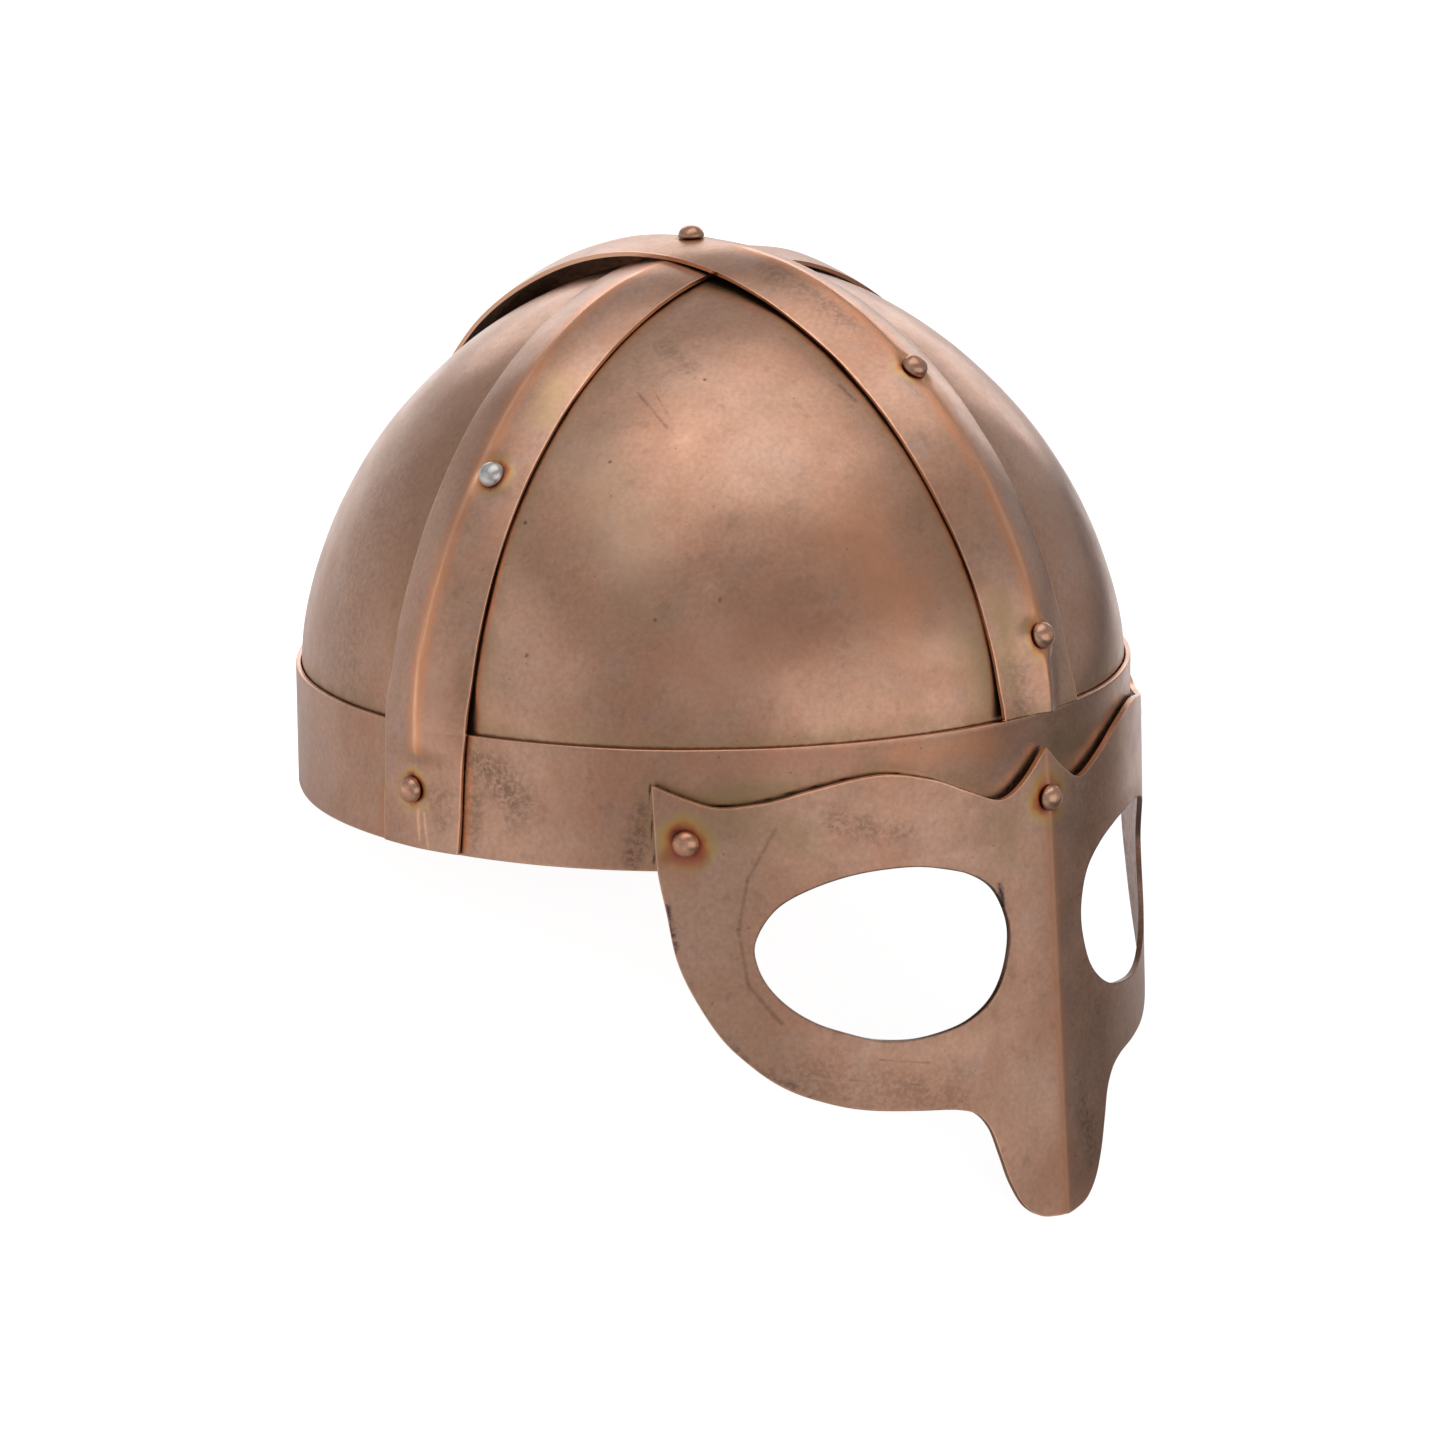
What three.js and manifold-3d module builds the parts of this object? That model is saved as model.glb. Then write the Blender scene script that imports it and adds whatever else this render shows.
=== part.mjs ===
import * as THREE from 'three';
import { mergeVertices } from 'three/addons/utils/BufferGeometryUtils.js';
import Module from 'manifold-3d';

const wasm = await Module();
wasm.setup();

// Millimetres. The helmet is drawn upright: +Z up, the face towards -Y, the wearer's left towards +X,
// and the rim of the brow band at z = 0. At the end it is tipped back to the way it rests by itself.

// Brow band: a ring of sheet, nearly round at the rim and longer than wide at its top edge.
const bandHalfWidth = 112;
const bandHalfLength = 118;
const rimHalfWidth = 115;
const rimHalfLength = 115.4;
const bandHeight = 32.5;
const bandSheet = 1.5;

// Skull: four plates that butt under the straps.
const skullHeight = 141.7;
const skullFullness = 1.7;
const plateSheet = 1.2;
const plateSeam = 1.2;
const plateRimInset = 1.5;

// Straps: bent strips with a ridge along the middle.
const strapWidth = 29;
const strapSheet = 1.2;
const ridgeRise = 4.3;
const strapLift = 4;
const sideFootInset = 0.5;

// Mask: one sheet wrapped round the front of the band, which it clears by maskLift at the sides and the front.
const maskSheet = 1.5;
const maskLift = 0.5;
const maskHalfSpan = 115.3;
const maskRise = 23.7;
const cheekDrop = 70;
const nasalDrop = 105.2;
const nasalHalfWidth = 23;
const maskForwardLean = 0.047;
const maskInwardLean = 0.05;
const noseCrease = 1.9;
const noseCreaseHalfWidth = 14;
const eyeWidth = 74;
const eyeHeight = 47;
const eyeMiddleSide = 53;
const eyeMiddleDrop = 25.1;

// Rivets: a domed head outside, a shank, and a clenched tail inside. tailFlat is the share of the tail's
// width that is hammered flat.
const headRadius = 3.6;
const headHeight = 3;
const shankRadius = 1.7;
const tailRadius = 3;
const tailHeight = 1.4;
const tailFlat = 0.6;

// Clearance between neighbouring pieces, and what a rivet's tail keeps clear of the facets inside.
const layGap = 0.3;
const facetAllowance = 0.45;

// How finely the curves are cut into facets.
const facetsRound = 56;
const facetsUpDome = 10;
const strapStations = 36;
const maskColumns = 16;
const outlineSteps = 34;
const eyeSteps = 28;
const rivetSides = 10;
const headSteps = 4;
// Lines along a strap, from -1 and 1 at its edges to 0 on its ridge.
const crestLines = [-1, -0.55, -0.16, 0, 0.16, 0.55, 1];
const sideLines = [1, 0.5, 0, -0.5, -1];

// Stand-off of the straps. place: 0 at the rim, 1 at the top edge of the band, 2 at the crown, 3 at the
// band's top edge on the other side. onBand: share of the band's thickness that the strap stands on.
// lift: share of strapLift under its edges. ridge: share of ridgeRise. pinch: 1 is a plain V section,
// more makes the ridge a narrow bead.
const crestRows = [
  { place: 1.0, onBand: 1.0, lift: 0.0, ridge: 0.55, pinch: 4 },
  { place: 1.12, onBand: 0.15, lift: 0.1, ridge: 0.8, pinch: 2 },
  { place: 1.25, onBand: 0, lift: 0.2, ridge: 0.85, pinch: 1 },
  { place: 1.4, onBand: 0, lift: 0.33, ridge: 0.85, pinch: 1 },
  { place: 1.6, onBand: 0, lift: 0.46, ridge: 0.75, pinch: 1 },
  { place: 1.8, onBand: 0, lift: 0.4, ridge: 0.85, pinch: 1 },
  { place: 2.0, onBand: 0, lift: 0.92, ridge: 0.2, pinch: 1 },
  { place: 2.15, onBand: 0, lift: 1.0, ridge: 0.45, pinch: 1 },
  { place: 2.4, onBand: 0, lift: 0.95, ridge: 0.8, pinch: 1 },
  { place: 2.56, onBand: 0, lift: 0.3, ridge: 0.85, pinch: 1 },
  { place: 2.75, onBand: 0, lift: 0.15, ridge: 0.85, pinch: 1 },
  { place: 2.88, onBand: 0.15, lift: 0.1, ridge: 0.8, pinch: 2 },
  { place: 3.0, onBand: 1.0, lift: 0.0, ridge: 0.55, pinch: 4 },
];
const sideRows = [
  { place: 0, onBand: 1, lift: 0.03, ridge: 0.1, pinch: 1 },
  { place: 0.35, onBand: 1, lift: 0.05, ridge: 0.12, pinch: 1 },
  { place: 0.7, onBand: 1, lift: 0.06, ridge: 0.15, pinch: 1 },
  { place: 0.85, onBand: 1, lift: 0.08, ridge: 0.58, pinch: 1 },
  { place: 1.0, onBand: 1, lift: 0.08, ridge: 0.67, pinch: 1 },
  { place: 1.14, onBand: 0.6, lift: 0.06, ridge: 0.85, pinch: 1 },
  { place: 1.27, onBand: 0.1, lift: 0.16, ridge: 0.8, pinch: 1 },
  { place: 1.42, onBand: 0, lift: 0.18, ridge: 0.6, pinch: 1 },
  { place: 1.6, onBand: 0, lift: 0.15, ridge: 0.75, pinch: 1 },
  { place: 1.77, onBand: 0, lift: 0.12, ridge: 0.65, pinch: 1 },
  { place: 1.9, onBand: 0, lift: 0.1, ridge: 0.35, pinch: 1 },
  { place: 2.0, onBand: 0, lift: 0.1, ridge: 0.2, pinch: 1 },
];

// Half of the mask's outline, from the middle of the top edge out to the corner at the temple.
// side: share of maskHalfSpan. up: share of maskRise.
const maskTopEdge = [
  { side: 0, up: 0.97 },
  { side: 0.069, up: 0.665 },
  { side: 0.119, up: 0.52 },
  { side: 0.155, up: 0.5 },
  { side: 0.25, up: 0.685 },
  { side: 0.345, up: 0.88 },
  { side: 0.475, up: 1 },
  { side: 0.64, up: 0.89 },
  { side: 0.76, up: 0.77 },
  { side: 0.85, up: 0.745 },
  { side: 0.92, up: 0.84 },
  { side: 1, up: 1 },
];
// On from the corner, round the cheek. side: share of maskHalfSpan. down: share of cheekDrop.
const maskCheekEdge = [
  { side: 0.99, down: 0 },
  { side: 0.977, down: 0.15 },
  { side: 0.96, down: 0.34 },
  { side: 0.922, down: 0.5 },
  { side: 0.863, down: 0.66 },
  { side: 0.755, down: 0.82 },
  { side: 0.646, down: 0.905 },
  { side: 0.535, down: 0.95 },
  { side: 0.41, down: 0.976 },
  { side: 0.306, down: 1 },
];
// On down the nasal to its tip. side: share of nasalHalfWidth. down: share of the way from cheekDrop to
// nasalDrop.
const maskNasalEdge = [
  { side: 1.31, down: 0.06 },
  { side: 1.13, down: 0.19 },
  { side: 1, down: 0.41 },
  { side: 0.87, down: 0.645 },
  { side: 0.68, down: 0.85 },
  { side: 0.44, down: 0.96 },
  { side: 0.2, down: 0.992 },
  { side: 0, down: 1 },
];
// An eye hole round its middle, pointed towards the temple. out and up: shares of half its width and
// half its height.
const eyeEdge = [
  { out: 1, up: 0.25 },
  { out: 0.83, up: 0.64 },
  { out: 0.58, up: 0.84 },
  { out: 0.25, up: 0.97 },
  { out: -0.08, up: 0.99 },
  { out: -0.38, up: 0.93 },
  { out: -0.66, up: 0.79 },
  { out: -0.88, up: 0.55 },
  { out: -1, up: 0.11 },
  { out: -0.96, up: -0.33 },
  { out: -0.84, up: -0.65 },
  { out: -0.6, up: -0.89 },
  { out: -0.17, up: -1 },
  { out: 0.13, up: -0.97 },
  { out: 0.38, up: -0.85 },
  { out: 0.58, up: -0.72 },
  { out: 0.77, up: -0.53 },
  { out: 0.92, up: -0.27 },
  { out: 0.99, up: -0.02 },
];

// The hand-cut holes don't quite match. nearer: towards the nose, a share of eyeWidth. lower: a share of
// eyeHeight.
const eyeHoles = [
  { sign: -1, nearer: 0, lower: 0 },
  { sign: 1, nearer: 0.025, lower: 0.05 },
];

// Rivets of the straps, by their place along them. aside: share of half the strap's width off its middle,
// towards the wearer's left on the crest and towards the rear at the sides.
const strapRivets = [
  { name: 'rivet_crown', strap: 'crest', place: 2.022, aside: 0 },
  { name: 'rivet_crest_front_upper', strap: 'crest', place: 1.58, aside: 0 },
  { name: 'rivet_crest_front_lower', strap: 'crest', place: 1.147, aside: 0 },
  { name: 'rivet_crest_rear_upper', strap: 'crest', place: 2.57, aside: 0 },
  { name: 'rivet_crest_rear_lower', strap: 'crest', place: 2.85, aside: 0 },
  { name: 'rivet_side_right_upper', strap: 'side', place: 1.428, aside: -0.32 },
  { name: 'rivet_side_right_lower', strap: 'side', place: 0.49, aside: 0.17 },
  { name: 'rivet_side_left_upper', strap: 'side', place: 2.59, aside: 0 },
  { name: 'rivet_side_left_lower', strap: 'side', place: 3.49, aside: 0 },
];
// Rivets through the mask. side: share of maskHalfSpan. up: share of maskRise.
const maskRivets = [
  { name: 'rivet_mask_centre', side: 0, up: 0.4 },
  { name: 'rivet_mask_right', side: -0.925, up: 0.35 },
  { name: 'rivet_mask_left', side: 0.925, up: 0.35 },
];

const domeHeight = skullHeight - bandHeight;
const bandStack = bandSheet + layGap;
const maskReach = maskLift + maskSheet;
const bandAtMaskTop = bandHalves(maskRise);
const maskHalfWidth = Math.max(rimHalfWidth, bandAtMaskTop.a) + maskReach;
const maskHalfLength = Math.max(rimHalfLength, bandAtMaskTop.b) + maskReach;
const strapHalfWidth = strapWidth / 2;
const quarter = Math.PI / 2;

// Closed solids and boolean work

function solidFrom(points, faces) {
  const geometry = new THREE.BufferGeometry();
  geometry.setAttribute('position', new THREE.Float32BufferAttribute(points.flatMap((p) => p.toArray()), 3));
  geometry.setIndex(faces.flat());
  return solidFromGeometry(geometry);
}

function solidFromGeometry(source, matrix = new THREE.Matrix4()) {
  const plain = source.clone();
  plain.deleteAttribute('normal');
  plain.deleteAttribute('uv');
  const merged = mergeVertices(plain.applyMatrix4(matrix));
  const corners = merged.index.array;
  const kept = [];
  for (let k = 0; k < corners.length; k += 3) {
    const [p, q, r] = corners.slice(k, k + 3);
    if (p !== q && q !== r && r !== p) kept.push(p, q, r);
  }
  const mesh = new wasm.Mesh({
    numProp: 3,
    vertProperties: new Float32Array(merged.attributes.position.array),
    triVerts: new Uint32Array(kept),
  });
  return new wasm.Manifold(mesh);
}

function geometryFrom(solid) {
  const mesh = solid.getMesh();
  const geometry = new THREE.BufferGeometry();
  geometry.setAttribute('position', new THREE.BufferAttribute(new Float32Array(mesh.vertProperties), 3));
  geometry.setIndex(new THREE.BufferAttribute(new Uint32Array(mesh.triVerts), 1));
  return geometry;
}

// Two triangles for each cell between neighbouring columns and rows of a grid of vertex numbers.
function cells(columns, rows, vertex, closedRound, turned) {
  const faces = [];
  const last = closedRound ? columns : columns - 1;
  for (let i = 0; i < last; i += 1) {
    const next = (i + 1) % columns;
    for (let j = 0; j < rows - 1; j += 1) {
      const corners = [vertex(i, j), vertex(next, j), vertex(next, j + 1), vertex(i, j + 1)];
      if (turned) corners.reverse();
      faces.push([corners[0], corners[1], corners[2]], [corners[0], corners[2], corners[3]]);
    }
  }
  return faces.filter(([p, q, r]) => p !== q && q !== r && r !== p);
}

// A sheet between an outer and an inner grid of points. pointAt(i, j, isInner) gives a grid point; seen
// from outside, columns run to the right and rows run up. With a pole the last row is a single point.
function sheetSolid(columns, rows, pointAt, closedRound = false, pole = false) {
  const points = [];
  for (const isInner of [false, true]) {
    for (let i = 0; i < columns; i += 1) {
      for (let j = 0; j < rows; j += 1) points.push(pointAt(i, j, isInner));
    }
  }
  const onLayer = (layer) => (i, j) => layer * columns * rows + (pole && j === rows - 1 ? 0 : i) * rows + j;
  const outer = onLayer(0);
  const inner = onLayer(1);
  const faces = [
    ...cells(columns, rows, outer, closedRound, false),
    ...cells(columns, rows, inner, closedRound, true),
    ...cells(columns, 2, (i, k) => (k === 1 ? outer(i, 0) : inner(i, 0)), closedRound, false),
  ];
  if (!pole) {
    const top = rows - 1;
    const edge = (i, k) => (k === 0 ? outer(i, top) : inner(i, top));
    faces.push(...cells(columns, 2, edge, closedRound, false));
  }
  if (!closedRound) {
    const right = columns - 1;
    faces.push(...cells(2, rows, (k, j) => (k === 0 ? inner(0, j) : outer(0, j)), false, false));
    faces.push(...cells(2, rows, (k, j) => (k === 0 ? outer(right, j) : inner(right, j)), false, false));
  }
  return solidFrom(points, faces);
}

// Cubic through the rows of a table at one place, with slopes taken across the neighbouring rows.
function rowValue(rows, column, place) {
  let k = 0;
  while (k < rows.length - 2 && place > rows[k + 1].place) k += 1;
  const slope = (i) => {
    const before = rows[Math.max(i - 1, 0)];
    const after = rows[Math.min(i + 1, rows.length - 1)];
    return (after[column] - before[column]) / (after.place - before.place);
  };
  const width = rows[k + 1].place - rows[k].place;
  const t = THREE.MathUtils.clamp((place - rows[k].place) / width, 0, 1);
  const near = rows[k][column] * (2 * t ** 3 - 3 * t ** 2 + 1);
  const far = rows[k + 1][column] * (3 * t ** 2 - 2 * t ** 3);
  return near + far + width * (slope(k) * (t ** 3 - 2 * t ** 2 + t) + slope(k + 1) * (t ** 3 - t ** 2));
}

// Band and skull

// Half sizes of the band's outside at a height between the rim and its top edge.
function bandHalves(z) {
  const share = Math.min(z / bandHeight, 1);
  return {
    a: THREE.MathUtils.lerp(rimHalfWidth, bandHalfWidth, share),
    b: THREE.MathUtils.lerp(rimHalfLength, bandHalfLength, share),
  };
}

// Angle of a facet corner round the helmet, with a facet in the middle of the front and of the rear.
function cornerAngle(i) {
  return (i + 0.5) * 2 * Math.PI / facetsRound;
}

// A point on a level ellipse, moved out along its normal. Angle 0 is the front, a quarter is the left.
function onEllipse(a, b, angle, z, out = 0) {
  const normal = new THREE.Vector3(Math.sin(angle) / a, -Math.cos(angle) / b, 0).normalize();
  return new THREE.Vector3(a * Math.sin(angle), -b * Math.cos(angle), z).addScaledVector(normal, out);
}

function bandSolid() {
  const heights = [0, bandHeight];
  return sheetSolid(facetsRound, heights.length, (i, j, isInner) => {
    const { a, b } = bandHalves(heights[j]);
    return onEllipse(a, b, cornerAngle(i), heights[j], isInner ? -bandSheet : 0);
  }, true);
}

// Outside of the skull. Behind the band it keeps one gap to it. Above, level sections are ellipses and
// (x/a)^2 + (y/b)^2 + (height share)^skullFullness = 1.
function skullNormal(point, share) {
  const a = bandHalfWidth - bandStack;
  const b = bandHalfLength - bandStack;
  const rise = skullFullness * share ** (skullFullness - 1) / domeHeight;
  return new THREE.Vector3(2 * point.x / a ** 2, 2 * point.y / b ** 2, rise).normalize();
}

function skullSolid() {
  const rows = 2 + facetsUpDome;
  return sheetSolid(facetsRound, rows, (i, j, isInner) => {
    const angle = cornerAngle(i);
    const out = isInner ? -plateSheet : 0;
    if (j === 0) {
      const { a, b } = bandHalves(plateRimInset);
      return onEllipse(a, b, angle, plateRimInset, out - bandStack);
    }
    const turn = (j - 1) / facetsUpDome * quarter;
    const { a, b } = bandHalves(bandHeight);
    const share = Math.sin(turn) ** (2 / skullFullness);
    const reach = j === rows - 1 ? 0 : Math.cos(turn);
    const level = onEllipse(a, b, angle, 0, -bandStack);
    const point = new THREE.Vector3(level.x * reach, level.y * reach, bandHeight + domeHeight * share);
    return point.addScaledVector(skullNormal(point, share), out);
  }, true, true);
}

// The quarter of the skull on one side of both seams.
function skullPlate(skull, right, rear) {
  const size = 2 * (skullHeight + bandHalfLength);
  const x = (right ? -1 : 1) * (size + plateSeam) / 2;
  const y = (rear ? 1 : -1) * (size + plateSeam) / 2;
  const place = new THREE.Matrix4().makeTranslation(x, y, 0);
  return skull.intersect(solidFromGeometry(new THREE.BoxGeometry(size, size, size), place));
}

// Straps

// A point on the skull's outside under a strap. across is the distance from the strap's middle line.
function underStrap(strap, across, place) {
  const below = Math.max(1 - place, place - 3, 0);
  const turn = THREE.MathUtils.clamp(place - 1, 0, 2) * quarter;
  const band = bandHalves(bandHeight * (1 - below));
  const a = band.a - bandStack;
  const b = band.b - bandStack;
  const narrow = Math.sqrt(1 - (across / (strap === 'crest' ? a : b)) ** 2);
  const share = below > 0 ? 0 : Math.max(narrow * Math.sin(turn), 0) ** (2 / skullFullness);
  const z = below > 0 ? bandHeight * (1 - below) : bandHeight + domeHeight * share;
  const along = narrow * Math.cos(turn);
  const point = strap === 'crest'
    ? new THREE.Vector3(across, -b * along, z)
    : new THREE.Vector3(-a * along, across, z);
  return { point, normal: skullNormal(point, share) };
}

// Both halves of the side strap are alike.
const strapRows = {
  crest: crestRows,
  side: [...sideRows, ...sideRows.slice(0, -1).reverse().map((row) => ({ ...row, place: 4 - row.place }))],
};

// Height of a strap's outside above the skull. ratio is 0 on its middle line and 1 at its edges.
function strapHeight(strap, place, ratio) {
  const rows = strapRows[strap];
  const carrier = bandStack * rowValue(rows, 'onBand', place) + strapLift * rowValue(rows, 'lift', place);
  const ridge = ridgeRise * rowValue(rows, 'ridge', place);
  return carrier + layGap + strapSheet + ridge * (1 - ratio) ** rowValue(rows, 'pinch', place);
}

// A point of a strap. line is -1 and 1 at its edges, depth goes in from its outside.
function onStrap(strap, line, place, depth = 0) {
  const { point, normal } = underStrap(strap, line * strapHalfWidth, place);
  return point.addScaledVector(normal, strapHeight(strap, place, Math.abs(line)) - depth);
}

function strapSolid(strap, firstPlace) {
  const lines = strap === 'crest' ? crestLines : sideLines;
  return sheetSolid(lines.length, strapStations + 1, (i, j, isInner) => {
    const place = THREE.MathUtils.lerp(firstPlace, 4 - firstPlace, j / strapStations);
    return onStrap(strap, lines[i], place, isInner ? strapSheet : 0);
  });
}

// Mask

// A point of the mask. side is the distance round from its middle, depth goes in from its outside.
function maskPoint(side, z, depth, creased = true) {
  const below = Math.max(-z, 0);
  const a = maskHalfWidth - maskInwardLean * below;
  const b = maskHalfLength + maskForwardLean * below;
  const angle = side / ((maskHalfWidth + maskHalfLength) / 2);
  const point = onEllipse(a, b, angle, z, -depth);
  if (creased) point.y -= noseCrease * Math.max(0, 1 - Math.abs(side) / noseCreaseHalfWidth);
  return point;
}

// A closed body whose walls stand square on the mask along an outline of { side, z } points.
function maskCutter(outline, depthIn, depthOut) {
  const flat = outline.map((p) => new THREE.Vector2(p.side, p.z));
  if (THREE.ShapeUtils.isClockWise(flat)) flat.reverse();
  const count = flat.length;
  const outer = flat.map((p) => maskPoint(p.x, p.y, -depthOut, false));
  const inner = flat.map((p) => maskPoint(p.x, p.y, depthIn, false));
  const faces = [];
  for (const [p, q, r] of THREE.ShapeUtils.triangulateShape(flat, [])) {
    faces.push([p, q, r], [count + p, count + r, count + q]);
  }
  for (let i = 0; i < count; i += 1) {
    const next = (i + 1) % count;
    faces.push([i, count + i, count + next], [i, count + next, next]);
  }
  return solidFrom([...outer, ...inner], faces);
}

function splinePoints(points, steps, closed = false) {
  const curve = new THREE.CatmullRomCurve3(points.map((p) => new THREE.Vector3(p.side, p.z, 0)), closed);
  return curve.getSpacedPoints(steps).map((p) => ({ side: p.x, z: p.y }));
}

function maskOutline() {
  const top = maskTopEdge.map((row) => ({ side: row.side * maskHalfSpan, z: row.up * maskRise }));
  const cheek = maskCheekEdge.map((row) => ({ side: row.side * maskHalfSpan, z: -row.down * cheekDrop }));
  const nasal = maskNasalEdge.map((row) => ({
    side: row.side * nasalHalfWidth,
    z: -THREE.MathUtils.lerp(cheekDrop, nasalDrop, row.down),
  }));
  const half = splinePoints(top, outlineSteps / 2);
  half.push(...splinePoints([top[top.length - 1], ...cheek, ...nasal], outlineSteps).slice(1));
  const mirrored = half.slice(1, -1).reverse().map((p) => ({ side: -p.side, z: p.z }));
  return [...half, ...mirrored];
}

function eyeOutline({ sign, nearer, lower }) {
  const points = eyeEdge.map((row) => ({
    side: sign * (eyeMiddleSide - nearer * eyeWidth + row.out * eyeWidth / 2),
    z: -eyeMiddleDrop - lower * eyeHeight + row.up * eyeHeight / 2,
  }));
  return splinePoints(points, eyeSteps, true).slice(0, -1);
}

function maskSolid() {
  const margin = 2 * maskSheet;
  const sides = [0, noseCreaseHalfWidth];
  const plain = maskHalfSpan + margin - noseCreaseHalfWidth;
  for (let k = 1; k <= maskColumns; k += 1) sides.push(noseCreaseHalfWidth + plain * k / maskColumns);
  const columns = [...sides.slice(1).reverse().map((side) => -side), ...sides];
  const levels = [-nasalDrop - margin, 0, maskRise + margin];
  const blank = sheetSolid(columns.length, levels.length, (i, j, isInner) => (
    maskPoint(columns[i], levels[j], isInner ? maskSheet : 0)
  ));
  // A flat triangle between two points of an outline cuts across the curve by less than these depths.
  const wideBow = 1.2 * maskHalfLength;
  const inwardBow = 0.2 * maskHalfLength;
  const eyeBow = 0.12 * maskHalfLength;
  const outlined = blank.intersect(maskCutter(maskOutline(), inwardBow, wideBow));
  const eyes = eyeHoles.map((eye) => maskCutter(eyeOutline(eye), eyeBow, eyeBow));
  return eyes.reduce((mask, eye) => mask.subtract(eye), outlined);
}

// Rivets

// Distance from a point in front of the band, straight in along the normal, to the skull's inside.
function depthToInside(point, normal) {
  const { a, b } = bandHalves(point.z);
  const inside = bandStack + plateSheet;
  const scaled = new THREE.Vector2(point.x / (a - inside), point.y / (b - inside));
  const inward = new THREE.Vector2(-normal.x / (a - inside), -normal.y / (b - inside));
  const half = scaled.dot(inward) / inward.lengthSq();
  return -half - Math.sqrt(half ** 2 - (scaled.lengthSq() - 1) / inward.lengthSq());
}

// Every rivet's seat on the outside, its axis, and the thickness that it goes through.
function rivetSeats() {
  const seats = strapRivets.map(({ name, strap, place, aside }) => {
    const seat = onStrap(strap, aside, place);
    const nearPlace = headRadius / (2 * bandHeight);
    const nearLine = headRadius / strapHalfWidth;
    const run = onStrap(strap, aside, place + nearPlace).sub(onStrap(strap, aside, place - nearPlace));
    const width = onStrap(strap, aside + nearLine, place).sub(onStrap(strap, aside - nearLine, place));
    const face = run.clone().cross(width).normalize();
    const { point, normal } = underStrap(strap, aside * strapHalfWidth, place);
    const upright = normal.clone().projectOnPlane(run).normalize();
    if (face.dot(upright) < 0) face.negate();
    const axis = face.add(upright).normalize();
    const slant = normal.angleTo(axis);
    const through = (seat.distanceTo(point) + plateSheet) / Math.cos(slant);
    return { name, seat, normal: axis, grip: through + tailRadius * Math.tan(slant) };
  });
  for (const { name, side, up } of maskRivets) {
    const z = up * maskRise;
    const seat = maskPoint(side * maskHalfSpan, z, 0);
    const normal = seat.clone().sub(maskPoint(side * maskHalfSpan, z, maskSheet)).normalize();
    seats.push({ name, seat, normal, grip: depthToInside(seat, normal) });
  }
  return seats;
}

// A rivet along +Z with its seat at z = 0 and its tail below the grip.
function rivetGeometry(grip) {
  const tailTop = -grip - layGap - facetAllowance;
  const profile = [
    new THREE.Vector2(0, tailTop - tailHeight),
    new THREE.Vector2(tailFlat * tailRadius, tailTop - tailHeight),
    new THREE.Vector2(tailRadius, tailTop),
    new THREE.Vector2(shankRadius, tailTop),
    new THREE.Vector2(shankRadius, layGap),
  ];
  for (let k = 0; k <= headSteps; k += 1) {
    const turn = k / headSteps * quarter;
    profile.push(new THREE.Vector2(headRadius * Math.cos(turn), layGap + headHeight * Math.sin(turn)));
  }
  profile[profile.length - 1].x = 0;
  return geometryFrom(solidFromGeometry(
    new THREE.LatheGeometry(profile, rivetSides),
    new THREE.Matrix4().makeRotationX(quarter),
  ));
}

// The hole for a rivet, from just above its seat to just past its tail.
function rivetHole({ seat, normal, grip }) {
  const above = headHeight;
  const below = grip + tailHeight + layGap;
  const radius = shankRadius + layGap;
  const hole = new THREE.CylinderGeometry(radius, radius, above + below, rivetSides);
  const stand = new THREE.Matrix4().makeRotationX(quarter);
  stand.premultiply(new THREE.Matrix4().makeTranslation(0, 0, (above - below) / 2));
  stand.premultiply(new THREE.Matrix4().makeRotationFromQuaternion(facing(normal)));
  stand.premultiply(new THREE.Matrix4().makeTranslation(seat.x, seat.y, seat.z));
  return solidFromGeometry(hole, stand);
}

function facing(normal) {
  return new THREE.Quaternion().setFromUnitVectors(new THREE.Vector3(0, 0, 1), normal);
}

// The helmet

function copper(color, roughness) {
  return new THREE.MeshStandardMaterial({ color, roughness, metalness: 1 });
}

const helmet = new THREE.Group();
const seats = rivetSeats();
const holes = seats.map(rivetHole);

function addSheet(name, solid, material) {
  const drilled = holes.reduce((body, hole) => body.subtract(hole), solid);
  const mesh = new THREE.Mesh(geometryFrom(drilled), material);
  mesh.name = name;
  helmet.add(mesh);
}

const skull = skullSolid();
for (const rear of [false, true]) {
  for (const right of [true, false]) {
    const name = `skull_plate_${rear ? 'rear' : 'front'}_${right ? 'right' : 'left'}`;
    addSheet(name, skullPlate(skull, right, rear), copper(rear ? 0x7d5f50 : 0x8f6a58, 0.4));
  }
}
addSheet('brow_band', bandSolid(), copper(0x87614f, 0.45));
const crestFoot = 1 + Math.asin((layGap / domeHeight) ** (skullFullness / 2)) / quarter;
addSheet('crest_strap', strapSolid('crest', crestFoot), copper(0x9a705c, 0.4));
addSheet('side_strap', strapSolid('side', sideFootInset / bandHeight), copper(0x9c7460, 0.4));
addSheet('spectacle_mask', maskSolid(), copper(0x8d6753, 0.45));

for (const { name, seat, normal, grip } of seats) {
  const rivet = new THREE.Mesh(rivetGeometry(grip), copper(0xa5765c, 0.3));
  rivet.name = name;
  rivet.position.copy(seat);
  rivet.quaternion.copy(facing(normal));
  helmet.add(rivet);
}

// Unworn, it lies tipped back on the tip of the nasal and the rear of the rim, with its lowest edge at
// z = 0 and its middle on the Z axis.
const nasalTip = maskPoint(0, -nasalDrop, maskSheet);
helmet.rotation.x = -Math.atan2(-nasalTip.z, rimHalfLength - nasalTip.y);
helmet.updateMatrixWorld(true);
const box = new THREE.Box3().setFromObject(helmet, true);
const middle = box.getCenter(new THREE.Vector3());
helmet.position.set(-middle.x, -middle.y, -box.min.z);

const part = new THREE.Group();
part.add(helmet);
export default part;
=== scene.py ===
import math

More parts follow.
